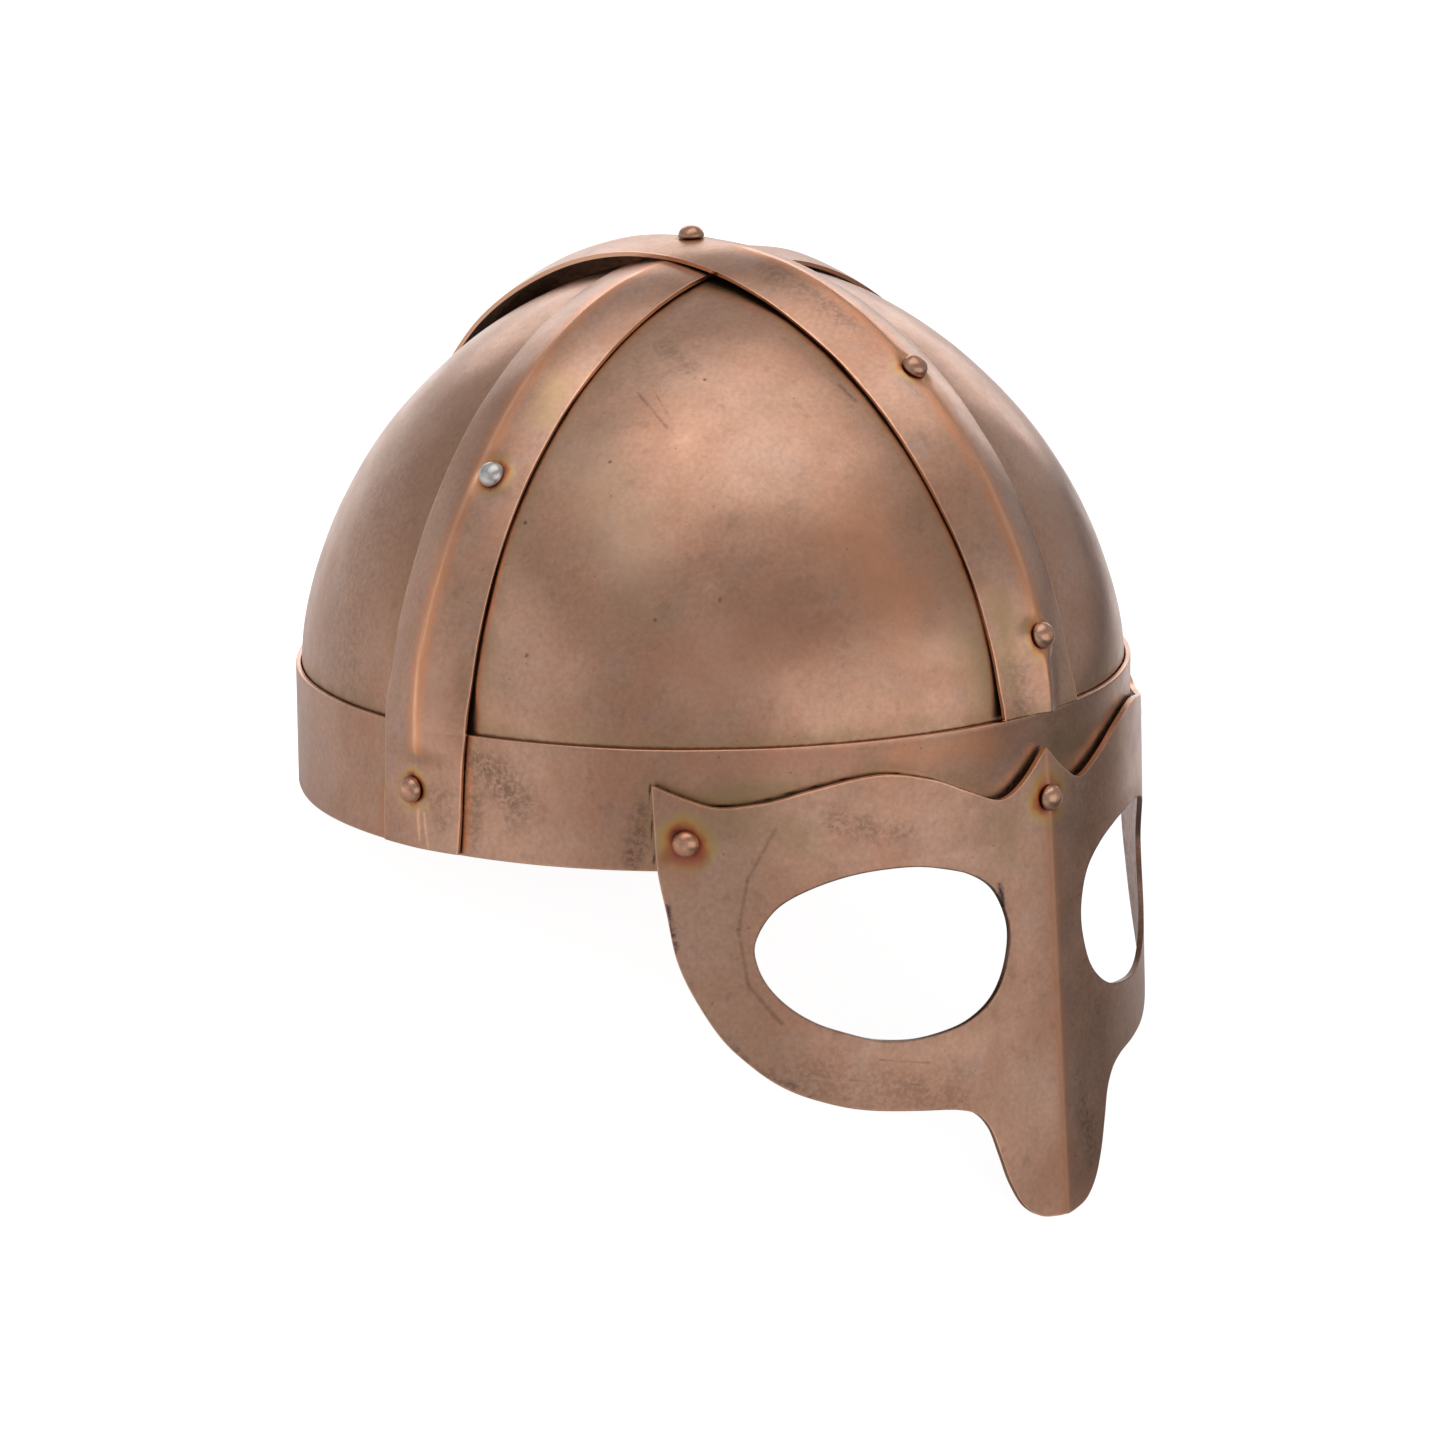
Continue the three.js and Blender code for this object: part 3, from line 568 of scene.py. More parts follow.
# Half of the outline as a loop: out along the top edge, round the cheek to the tip, and up the middle.
def maskLoop():
    top = [(side * maskForm["halfSpan"], up * maskForm["rise"]) for side, up in maskTopEdge]
    outer = [top[-1]] + [(side * maskForm["halfSpan"], -down * maskForm["cheekDrop"]) for side, down in maskCheekEdge]
    onward = maskForm["nasalDrop"] - maskForm["cheekDrop"]
    outer += [(side * maskForm["nasalHalfWidth"], -maskForm["cheekDrop"] - down * onward)
              for side, down in maskNasalEdge]
    topPart = splinePoints(top, maskForm["topSteps"])
    outerPart = splinePoints(outer, maskForm["outerSteps"])
    middle = np.linspace(outerPart[-1], topPart[0], maskForm["middleSteps"] + 1)
    return topPart, outerPart, middle


# Distance from points to the nearest stretch of a line of points, all in the same plane.
def fromLine(points, line):
    start, step = line[:-1], np.diff(line, axis=0)
    flat = points.reshape(-1, 1, 2) - start
    share = np.clip((flat * step).sum(-1) / np.maximum((step * step).sum(-1), 1e-9), 0, 1)
    return np.linalg.norm(flat - share[..., None] * step, axis=-1).min(1).reshape(points.shape[:-1])


# Half of the mask as rings between its eye hole and its outline: straight lines join matched points of
# the two loops, evened out a few times, and the flat sheet is then wrapped round the front.
def maskGrid(sign, nearer, lower):
    topPart, outerPart, middle = maskLoop()
    loop = np.vstack([topPart[:-1], outerPart[:-1], middle[:-1]])
    eye = splinePoints(
        [(maskForm["eyeSide"] - nearer * maskForm["eyeWidth"] + out * maskForm["eyeWidth"] / 2,
          -maskForm["eyeDrop"] - lower * maskForm["eyeHeight"] + up * maskForm["eyeHeight"] / 2)
         for out, up in eyeEdge], 720, closed=True)[:-1]
    nearTop, corner, tip = 0, len(topPart) - 1, len(topPart) + len(outerPart) - 2
    cheek = corner + int(0.42 * maskForm["outerSteps"])
    root = corner + int(0.745 * maskForm["outerSteps"])
    # Shares round the eye hole, from the temple over the top, that the loop's marks are joined to
    marks = np.array([nearTop, corner, cheek, root, tip, len(loop)])
    shares = np.array([0.415, 0.06, -0.12, -0.36, -0.47, -0.585])
    share = np.interp(np.arange(len(loop)), marks, shares) % 1
    onEye = np.stack([np.interp(share * len(eye), np.arange(len(eye) + 1), np.append(eye[:, k], eye[0, k]))
                      for k in (0, 1)], -1)
    step = np.linspace(0, 1, maskForm["rings"] + 1)
    step = (0.5 - 0.5 * np.cos(np.pi * step)) * 0.35 + step * 0.65
    flat = onEye[:, None] * (1 - step[:, None]) + loop[:, None] * step[:, None]
    for _ in range(25):
        around = (np.roll(flat, 1, 0) + np.roll(flat, -1, 0))[:, 1:-1] / 2
        flat[:, 1:-1] = 0.6 * flat[:, 1:-1] + 0.4 * (0.7 * around + 0.15 * (flat[:, :-2] + flat[:, 2:]))
    ragged = np.concatenate([flat, 0 * flat[..., :1] + 40 * sign], -1)
    flat = flat + slowWaves(ragged, maskForm["uneven"], 14, 51)[..., None] * [0, 1] * (flat[..., :1] > 1)
    outline = np.vstack([topPart, outerPart])
    toEye = fromLine(flat, np.vstack([eye, eye[:1]]))
    toEdge = fromLine(flat, outline)
    surface = maskPoint(sign * flat[..., 0], flat[..., 1])
    dents = slowWaves(surface, maskForm["dents"], 34, 52)
    surface += gridNormals(surface)[..., :] * (sign * smoothStep(np.abs(flat[..., 0]), 0, 12) * dents)[..., None]
    return {
        "points": surface, "closed": True, "turned": sign < 0,
        # Distance from the middle crease, where the finish paints bright wear and a painted highlight.
        "edge": toEdge, "lap": toEye, "ridge": np.abs(flat[..., 0]),
        "halo": fromRivets(surface, "mask"),
    }


def maskPiece():
    return pieceFrom("spectacleMask", [maskGrid(*hole) for hole in eyeHoles])


# Band


# The band: a ring whose half sizes change evenly with height, with a top edge that wanders a little.
def bandPiece():
    angle = np.linspace(0, 2 * np.pi, bandForm["columns"], endpoint=False)[:, None]
    up = np.linspace(0, 1, bandForm["rows"] + 1)[None, :]
    ring = np.stack([np.sin(angle), np.cos(angle), 0 * angle], -1) * 115
    top = bandForm["height"] - np.abs(slowWaves(ring, bandForm["unevenTop"], 45, 61))
    z = up * top
    surface = bandPoints(angle + 0 * up, z)
    surface += gridNormals(surface) * (slowWaves(surface, 0.07, 30, 62) - 0.07)[..., None]
    topPart, outerPart, _ = maskLoop()
    outline = np.vstack([topPart, outerPart[:40]])
    side = np.arctan2(surface[..., 0], -surface[..., 1]) * (maskHalfWidth + maskHalfLength) / 2
    flat = np.stack([np.abs(side), surface[..., 2]], -1)
    toMask = np.where(np.abs(side) < 150, fromLine(flat, outline), far)
    toSide = np.abs(np.abs(surface[..., 1]) - strapHalfWidth * footShare("side", up))
    return pieceFrom("browBand", [{
        "points": surface, "closed": True,
        "edge": np.minimum(surface[..., 2], top - surface[..., 2]),
        "lap": np.minimum(toMask, toSide),
    }])


# Rivets


# A rivet turned about its axis: a clenched tail, a shank and a domed head, each a little out of round.
def rivetPiece(node, seat, index):
    tailTop = -seat["grip"] - gap - 0.45
    turn = np.linspace(0, quarter, rivetForm["headSteps"])
    radius = np.concatenate([
        [0, rivetForm["tailFlat"] * rivetForm["tailRadius"], rivetForm["tailRadius"], rivetForm["tailRadius"],
         rivetForm["shankRadius"], rivetForm["shankRadius"], 0.94 * rivetForm["headRadius"]],
        rivetForm["headRadius"] * np.cos(turn) ** 0.9])
    height = np.concatenate([
        [tailTop - rivetForm["tailHeight"], tailTop - rivetForm["tailHeight"], tailTop - 0.5 * rivetForm["tailHeight"],
         tailTop, tailTop, 0.1, 0.1],
        0.3 + rivetForm["headHeight"] * np.sin(turn)])
    angle = np.linspace(0, 2 * np.pi, rivetForm["sides"], endpoint=False)[:, None]
    helper = np.array([0, 0, 1.0]) if abs(seat["axis"][2]) < 0.9 else np.array([1.0, 0, 0])
    across = unit(np.cross(helper, seat["axis"]))
    other = np.cross(seat["axis"], across)
    around = np.cos(angle)[..., None] * across + np.sin(angle)[..., None] * other
    surface = seat["seat"] + radius[None, :, None] * around + height[None, :, None] * seat["axis"]
    ring = np.stack([radius * np.cos(angle), radius * np.sin(angle), height + 0 * angle], -1)
    uneven = slowWaves(ring, rivetForm["uneven"], 5, 71 + index)
    outward = radius[None, :, None] * around / rivetForm["headRadius"]
    surface += outward * uneven[..., None]
    piece = pieceFrom("rivet" + "".join(word.title() for word in node.split("_")[1:]), [{
        "points": surface, "closed": True,
        "lap": np.abs(height - 0.1)[None, :],
        # Distance from the top of the head, where the finish paints bright wear and a painted highlight.
        "ridge": np.hypot(radius, height - 0.3 - rivetForm["headHeight"])[None, :],
    }])
    return piece


print("stage: shapes written")

# Finishes

inputKinds = {"vector": "NodeSocketVector", "number": "NodeSocketFloat", "colour": "NodeSocketColor"}


def addNode(tree, kind, inputs=(), **settings):
    made = tree.nodes.new(kind)
    for key, value in settings.items():
        setattr(made, key, value)
    for key, value in dict(inputs).items():
        if isinstance(value, bpy.types.NodeSocket):
            tree.links.new(value, made.inputs[key])
        else:
            made.inputs[key].default_value = value
    return made


def calc(tree, operation, a, b=0.0, clamp=False):
    return addNode(tree, "ShaderNodeMath", {0: a, 1: b}, operation=operation, use_clamp=clamp).outputs[0]


def mixColour(tree, factor, a, b, kind="MIX"):
    made = addNode(tree, "ShaderNodeMix", {0: factor, 6: a, 7: b}, data_type="RGBA", blend_type=kind)
    return made.outputs[2]


# A number faded smoothly from one range to another.
def fade(tree, value, fromMin, fromMax, toMin=0.0, toMax=1.0):
    return addNode(tree, "ShaderNodeMapRange",
                   {"Value": value, "From Min": fromMin, "From Max": fromMax, "To Min": toMin, "To Max": toMax},
                   interpolation_type="SMOOTHSTEP").outputs["Result"]


def newGroup(name, inputs, outputs):
    tree = bpy.data.node_groups.new(name, "ShaderNodeTree")
    for key, kind in inputs.items():
        tree.interface.new_socket(key, in_out="INPUT", socket_type=inputKinds[kind])
    for key, kind in outputs.items():
        tree.interface.new_socket(key, in_out="OUTPUT", socket_type=inputKinds[kind])
    return tree, tree.nodes.new("NodeGroupInput").outputs, tree.nodes.new("NodeGroupOutput").inputs


def scaled(tree, place, size):
    return addNode(tree, "ShaderNodeVectorMath", {0: place, "Scale": calc(tree, "DIVIDE", 1.0, size)},
                   operation="SCALE").outputs[0]


# Cloudy patches of one size in millimetres, faded between a low and a high level of the noise.
def mottleGroup():
    tree, given, out = newGroup("mottle", {"Place": "vector", "Size": "number", "Shift": "number",
                                           "Low": "number", "High": "number"}, {"Mask": "number"})
    moved = addNode(tree, "ShaderNodeVectorMath", {0: scaled(tree, given["Place"], given["Size"]),
                                                   1: given["Shift"]}, operation="ADD").outputs[0]
    noise = addNode(tree, "ShaderNodeTexNoise", {"Vector": moved, "Scale": 1.0, "Detail": 4.0, "Roughness": 0.58})
    mask = addNode(tree, "ShaderNodeMapRange", {"Value": noise.outputs["Fac"], "From Min": given["Low"],
                                                "From Max": given["High"]}, interpolation_type="SMOOTHSTEP")
    tree.links.new(mask.outputs["Result"], out["Mask"])
    return tree


# Wear or dirt along a border: full at no distance, gone at the width, its rim broken up by noise.
def borderGroup():
    tree, given, out = newGroup("border", {"Place": "vector", "Distance": "number", "Width": "number",
                                           "Ragged": "number", "Grain": "number"}, {"Mask": "number"})
    noise = addNode(tree, "ShaderNodeTexNoise", {"Vector": scaled(tree, given["Place"], given["Grain"]),
                                                 "Scale": 1.0, "Detail": 3.0, "Roughness": 0.6})
    jitter = calc(tree, "MULTIPLY", calc(tree, "SUBTRACT", noise.outputs["Fac"], 0.5), given["Ragged"])
    distance = calc(tree, "ADD", given["Distance"], calc(tree, "MULTIPLY", jitter, 2.0))
    mask = addNode(tree, "ShaderNodeMapRange", {"Value": distance, "From Min": given["Width"], "From Max": 0.0,
                                                "To Min": 0.0, "To Max": 1.0}, interpolation_type="SMOOTHSTEP")
    tree.links.new(mask.outputs["Result"], out["Mask"])
    return tree


# Small round pits: cells of a size in millimetres, of which a share holds a pit.
def pitsGroup():
    tree, given, out = newGroup("pits", {"Place": "vector", "Size": "number", "Share": "number",
                                         "Radius": "number"}, {"Mask": "number"})
    cell = addNode(tree, "ShaderNodeTexVoronoi", {"Vector": scaled(tree, given["Place"], given["Size"]),
                                                  "Scale": 1.0, "Randomness": 1.0})
    picked = addNode(tree, "ShaderNodeSeparateColor", {"Color": cell.outputs["Color"]}).outputs["Red"]
    chosen = calc(tree, "LESS_THAN", picked, given["Share"])
    dot = addNode(tree, "ShaderNodeMapRange", {"Value": cell.outputs["Distance"], "From Min": given["Radius"],
                                               "From Max": 0.0}, interpolation_type="SMOOTHSTEP").outputs["Result"]
    tree.links.new(calc(tree, "MULTIPLY", dot, chosen), out["Mask"])
    return tree


# Fine scratches: noise drawn out along one direction and cut to its narrow middle level.
def scratchesGroup():
    tree, given, out = newGroup("scratches", {"Place": "vector", "Turn": "vector", "Length": "number",
                                              "Width": "number", "Fineness": "number"}, {"Mask": "number"})
    turned = addNode(tree, "ShaderNodeMapping", {"Vector": given["Place"], "Rotation": given["Turn"]},
                     vector_type="POINT").outputs[0]
    size = addNode(tree, "ShaderNodeCombineXYZ", {"X": calc(tree, "DIVIDE", 1.0, given["Length"]),
                                                  "Y": calc(tree, "DIVIDE", 1.0, given["Width"]),
                                                  "Z": calc(tree, "DIVIDE", 1.0, given["Width"])}).outputs[0]
    drawn = addNode(tree, "ShaderNodeVectorMath", {0: turned, 1: size}, operation="MULTIPLY").outputs[0]
    noise = addNode(tree, "ShaderNodeTexNoise", {"Vector": drawn, "Scale": 1.0, "Detail": 2.0, "Roughness": 0.5})
    level = calc(tree, "ABSOLUTE", calc(tree, "SUBTRACT", noise.outputs["Fac"], 0.5))
    mask = addNode(tree, "ShaderNodeMapRange", {"Value": level, "From Min": given["Fineness"], "From Max": 0.0},
                   interpolation_type="SMOOTHSTEP")
    tree.links.new(mask.outputs["Result"], out["Mask"])
    return tree


# Heat colours round a rivet: wine red at the head, then orange and straw, fading out at the reach.
def heatGroup():
    tree, given, out = newGroup("heat", {"Place": "vector", "Distance": "number", "Reach": "number"},
                                {"Color": "colour", "Mask": "number"})
    noise = addNode(tree, "ShaderNodeTexNoise", {"Vector": scaled(tree, given["Place"], 5.0), "Scale": 1.0,
                                                 "Detail": 3.0})
    jitter = calc(tree, "MULTIPLY", calc(tree, "SUBTRACT", noise.outputs["Fac"], 0.5), 4.0)
    share = calc(tree, "DIVIDE", calc(tree, "SUBTRACT", calc(tree, "ADD", given["Distance"], jitter), 3.3),
                 given["Reach"])
    ramp = addNode(tree, "ShaderNodeValToRGB", {"Fac": share})
    stops = ramp.color_ramp.elements
    for place, colour in ((0.16, (0.46, 0.12, 0.05, 1)), (0.42, (0.66, 0.33, 0.11, 1)), (0.7, (0.56, 0.42, 0.16, 1))):
        stops.new(place).color = colour
    stops[0].color = (0.14, 0.035, 0.025, 1)
    stops[len(stops) - 1].color = (0.46, 0.37, 0.18, 1)
    tree.links.new(ramp.outputs["Color"], out["Color"])
    tree.links.new(fade(tree, share, 1.0, 0.3), out["Mask"])
    return tree


# A mark between two places: full along its middle, gone at its width, its rim broken up by the noise
# handed in. With both places alike it is a round stain.
def markGroup():
    tree, given, out = newGroup("mark", {"Place": "vector", "Start": "vector", "Run": "vector", "Width": "number",
                                         "Ragged": "number", "Noise": "number"}, {"Mask": "number"})
    here = addNode(tree, "ShaderNodeVectorMath", {0: given["Place"], 1: given["Start"]}, operation="SUBTRACT").outputs[0]
    onto = addNode(tree, "ShaderNodeVectorMath", {0: here, 1: given["Run"]}, operation="DOT_PRODUCT").outputs["Value"]
    whole = addNode(tree, "ShaderNodeVectorMath", {0: given["Run"], 1: given["Run"]}, operation="DOT_PRODUCT").outputs["Value"]
    share = calc(tree, "DIVIDE", onto, calc(tree, "MAXIMUM", whole, 0.01), clamp=True)
    foot = addNode(tree, "ShaderNodeVectorMath", {0: given["Run"], "Scale": share}, operation="SCALE").outputs[0]
    away = addNode(tree, "ShaderNodeVectorMath", {0: here, 1: foot}, operation="DISTANCE").outputs["Value"]
    jitter = calc(tree, "MULTIPLY", calc(tree, "SUBTRACT", given["Noise"], 0.45), given["Ragged"])
    away = calc(tree, "ADD", away, calc(tree, "MULTIPLY", jitter, 2.4))
    mask = addNode(tree, "ShaderNodeMapRange", {"Value": away, "From Min": given["Width"], "From Max": 0.0},
                   interpolation_type="SMOOTHSTEP")
    tree.links.new(mask.outputs["Result"], out["Mask"])
    return tree


groups = {
    "mottle": mottleGroup(), "border": borderGroup(), "pits": pitsGroup(), "scratches": scratchesGroup(),
    "heat": heatGroup(), "mark": markGroup(),
}


def useGroup(tree, name, inputs, output="Mask"):
    made = addNode(tree, "ShaderNodeGroup", node_tree=groups[name])
    for key, value in inputs.items():
        if isinstance(value, bpy.types.NodeSocket):
            tree.links.new(value, made.inputs[key])
        else:
            made.inputs[key].default_value = value
    return made.outputs[output]


# The place on the upright helmet in millimetres, from Object coordinates of the resting one.
def uprightPlace(tree):
    coordinates = addNode(tree, "ShaderNodeTexCoord").outputs["Object"]
    back = np.linalg.inv(tiltRows) @ -restShift
    return addNode(tree, "ShaderNodeMapping", {"Vector": coordinates, "Location": back.tolist(),
                                               "Rotation": (-restTilt, 0, 0), "Scale": (1 / mm,) * 3}).outputs[0]


copperTones = {
    "light": (0.70, 0.415, 0.295, 1), "brown": (0.60, 0.315, 0.205, 1), "red": (0.62, 0.28, 0.175, 1),
    "amber": (0.82, 0.35, 0.18, 1), "straw": (0.66, 0.44, 0.21, 1), "olive": (0.40, 0.27, 0.13, 1),
    "grey": (0.50, 0.335, 0.22, 1), "smokeAndShade": (0.19, 0.105, 0.07, 1), "dark": (0.06, 0.028, 0.018, 1),
    "ink": (0.03, 0.027, 0.045, 1), "wine": (0.36, 0.07, 0.05, 1), "lilac": (0.50, 0.37, 0.35, 1),
    "bright": (0.97, 0.54, 0.35, 1), "steel": (0.66, 0.64, 0.62, 1),
}

# What differs from piece to piece: roughness, and the strength and width in millimetres of each effect.
looks = {
    "skull": {"roughness": 0.31, "red": 0.3, "lilac": 0.15, "olive": 0.5, "oliveWidth": 7.0, "seam": 0.65,
              "heat": 0.5, "heatReach": 4.0, "pits": 0.6, "edgeWearAndHighlight": 0.0, "ridgeWearAndHighlight": 0.0, "ridgeAmberHighlight": 0.0},
    "band": {"roughness": 0.33, "red": 0.45, "lilac": 0.2, "olive": 0.5, "oliveWidth": 6.0, "seam": 0.9,
             "heat": 0.0, "heatReach": 4.0, "pits": 0.8, "edgeWearAndHighlight": 0.55, "ridgeWearAndHighlight": 0.0, "ridgeAmberHighlight": 0.0},
    "strap": {"roughness": 0.32, "red": 0.35, "lilac": 0.3, "olive": 0.4, "oliveWidth": 5.0, "seam": 0.8,
              "heat": 0.85, "heatReach": 3.6, "pits": 0.5, "edgeWearAndHighlight": 0.9, "ridgeWearAndHighlight": 0.8, "ridgeAmberHighlight": 0.95},
    "mask": {"roughness": 0.34, "red": 0.35, "lilac": 0.15, "olive": 0.0, "oliveWidth": 6.0, "seam": 0.6,
             "heat": 1.0, "heatReach": 6.5, "pits": 0.9, "edgeWearAndHighlight": 0.75, "ridgeWearAndHighlight": 0.55, "ridgeAmberHighlight": 0.5},
    "rivet": {"roughness": 0.3, "red": 0.3, "lilac": 0.1, "olive": 0.5, "oliveWidth": 1.0, "seam": 0.5,
              "heat": 0.0, "heatReach": 4.0, "pits": 0.3, "edgeWearAndHighlight": 0.0, "ridgeWearAndHighlight": 0.6, "ridgeAmberHighlight": 0.3},
}

# Single marks and stains on the near side, a few of them painted shade: tone, strength, width, raggedness, start and
# end.
marks = {
    "skull": [
        ("amber", 0.6, 24, 8, (-39.9, -90.4, 82.3), (-36.2, -100.7, 67.0)),
        ("red", 0.45, 22, 9, (-65.0, -84.3, 64.6), (-83.1, -72.2, 50.2)),
        ("grey", 0.45, 18, 8, (-74.5, -26.6, 104.3), (-86.5, -54.7, 69.8)),
        ("grey", 0.15, 15, 7, (-26.6, -86.0, 95.6), (-21.0, -108.3, 59.9)),
        ("light", 0.5, 14, 6, (-22.7, -109.6, 55.0), (-30.0, -107.0, 57.0)),
        # Painted shade: a broad darker stripe on the rear-right plate beside the side strap.
        ("smokeAndShade", 0.32, 32, 8, (-80.0, 44.1, 88.7), (-103.7, 41.4, 42.3)),
        ("olive", 0.6, 12, 5, (-15.0, -18.0, 138.9), (-15.0, -18.0, 138.9)),
        ("olive", 0.55, 12, 5, (-17.8, -113.9, 41.2), (-19.0, -110.0, 53.0)),
        ("smokeAndShade", 0.35, 5, 3, (-43.8, -25.9, 127.7), (-46.3, -37.1, 122.6)),
        ("smokeAndShade", 0.6, 0.8, 0.7, (-58.6, -29.4, 117.4), (-61.3, -42.3, 109.9)),
        ("smokeAndShade", 0.5, 0.55, 0.7, (-56.6, -34.0, 117.3), (-59.0, -40.6, 112.6)),
        ("smokeAndShade", 0.6, 1.2, 0.8, (-18.7, -65.6, 117.5), (-18.2, -70.3, 113.9)),
        ("wine", 0.9, 1.1, 0.3, (-102.9, -29.0, 54.5), (-102.9, -29.0, 54.5)),
        ("dark", 0.8, 0.9, 0.3, (-46.2, -42.2, 120.5), (-46.2, -42.2, 120.5)),
        ("dark", 0.8, 1.0, 0.3, (-86.1, -59.5, 65.0), (-86.1, -59.5, 65.0)),
        ("wine", 0.8, 1.0, 0.4, (-74.4, -71.8, 69.9), (-74.4, -71.8, 69.9)),
        ("dark", 0.8, 0.9, 0.3, (-74.2, -33.5, 101.9), (-74.2, -33.5, 101.9)),
        ("dark", 0.8, 0.9, 0.3, (-90.6, -17.7, 86.3), (-90.6, -17.7, 86.3)),
    ],
    "strap": [
        ("straw", 0.55, 9, 4, (-66.8, -8.8, 117.2), (-74.4, -10.3, 110.5)),
        ("red", 0.4, 9, 5, (-94.0, -11.8, 86.9), (-98.0, -11.0, 78.0)),
        ("lilac", 0.25, 9, 5, (-29.1, 4.0, 137.4), (-48.0, 6.0, 130.0)),
        ("light", 0.6, 8, 4, (-112.5, -5.2, 48.0), (-113.9, -5.2, 30.0)),
        # Painted shade darkening the near slope of the crest strap's front upper part.
        ("smokeAndShade", 0.5, 11, 4, (-4.0, -32.0, 141.0), (-4.0, -56.0, 132.0)),
        ("smokeAndShade", 0.5, 7, 4, (-115.4, -7.6, 16.8), (-115.9, -9.0, 8.8)),
        ("bright", 0.95, 1.0, 0.5, (-116.1, 0.2, 10.6), (-116.7, -0.9, 3.0)),
        ("bright", 0.8, 0.8, 0.5, (-116.1, -2.2, 10.0), (-116.8, -4.0, 1.0)),
        ("straw", 0.6, 3.5, 2, (-115.9, -1.5, 12.0), (-115.9, -1.5, 12.0)),
        ("amber", 0.7, 5, 2, (1.7, -65.4, 121.1), (1.7, -68.0, 119.5)),
        ("olive", 0.6, 8, 5, (-9.1, -112.0, 63.6), (-11.0, -118.4, 40.5)),
        ("smokeAndShade", 0.45, 10, 5, (-8.0, -118.0, 44.0), (-8.0, -119.5, 33.0)),
    ],
    "band": [
        ("amber", 0.8, 2.0, 0.8, (-112.3, -15.8, 25.0), (-113.3, -15.2, 3.0)),
        ("smokeAndShade", 0.8, 12, 5, (-111.2, -20.8, 25.2), (-109.9, -29.7, 16.8)),
        ("smokeAndShade", 0.5, 5, 3, (-113.0, -17.5, 15.0), (-113.6, -17.5, 4.0)),
        ("smokeAndShade", 0.8, 6, 4, (-96.2, -61.9, 17.1), (-97.0, -60.0, 4.0)),
        ("olive", 0.7, 9, 3, (-83.5, -78.8, 19.0), (-72.0, -90.0, 19.0)),
        ("red", 0.6, 8, 5, (-88.2, -72.7, 29.9), (-60.0, -98.0, 30.0)),
        ("amber", 0.5, 8, 5, (-45.1, -107.6, 28.0), (-20.0, -115.0, 28.0)),
        ("olive", 0.6, 9, 5, (10.0, -117.0, 20.0), (24.0, -115.0, 19.0)),
        ("red", 0.7, 3.5, 2, (-113.1, 16.6, 3.0), (-113.1, 16.6, 13.0)),
    ],
    "mask": [
        ("smokeAndShade", 0.55, 8, 5, (-64.2, -99.7, 13.1), (-47.3, -109.1, 7.1)),
        ("olive", 0.35, 9, 5, (-13.9, -118.6, -2.4), (-13.9, -118.6, 4.0)),
        ("olive", 0.4, 9, 4, (-86.0, -81.0, 14.0), (-70.0, -95.0, 10.0)),
        ("wine", 0.6, 4, 3, (-95.0, -70.0, 4.4), (-89.6, -76.5, 5.4)),
        ("red", 0.5, 6, 4, (-94.0, -71.2, 1.0), (-92.0, -73.9, 0.0)),
        ("smokeAndShade", 0.45, 1.0, 0.5, (-75.8, -90.8, 11.4), (-81.3, -85.6, -2.0)),
        ("smokeAndShade", 0.5, 1.0, 0.5, (-81.3, -85.6, -2.0), (-83.0, -83.8, -15.3)),
        ("smokeAndShade", 0.45, 1.0, 0.5, (-83.0, -83.8, -15.3), (-81.5, -85.4, -30.3)),
        ("smokeAndShade", 0.5, 1.1, 0.5, (-81.5, -85.4, -30.3), (-75.5, -91.4, -41.0)),
        ("smokeAndShade", 0.65, 3.0, 3, (-89.8, -75.7, -38.2), (-83.2, -83.5, -52.0)),
        ("smokeAndShade", 0.65, 3.0, 3, (-83.2, -83.5, -52.0), (-72.1, -94.5, -59.4)),
        ("smokeAndShade", 0.5, 0.6, 0.5, (-54.4, -107.1, -53.0), (-41.7, -113.5, -55.6)),
        ("smokeAndShade", 0.5, 0.6, 0.5, (-61.5, -102.8, -57.6), (-44.6, -112.4, -61.2)),
        ("ink", 0.95, 2.0, 1.8, (-94.9, -69.4, -9.0), (-93.9, -70.6, -21.0)),
        ("ink", 0.9, 1.6, 1.2, (-18.4, -118.7, -11.0), (-17.2, -118.7, -17.0)),
        ("ink", 0.9, 1.5, 1.5, (-19.4, -119.2, -35.5), (-24.0, -118.6, -40.0)),
        # Painted shade on the far side of the nasal's lower part.
        ("smokeAndShade", 0.6, 8, 5, (9.4, -122.6, -76.0), (12.5, -122.6, -92.0)),
        ("smokeAndShade", 0.45, 14, 6, (-70.0, -96.0, -55.0), (-35.0, -115.0, -66.0)),
        # Painted shade: a long faint darkening down the far side of the mask's middle.
        ("smokeAndShade", 0.3, 16, 6, (20.0, -121.0, 6.0), (20.0, -121.0, -90.0)),
    ],
    "rivet": [],
}
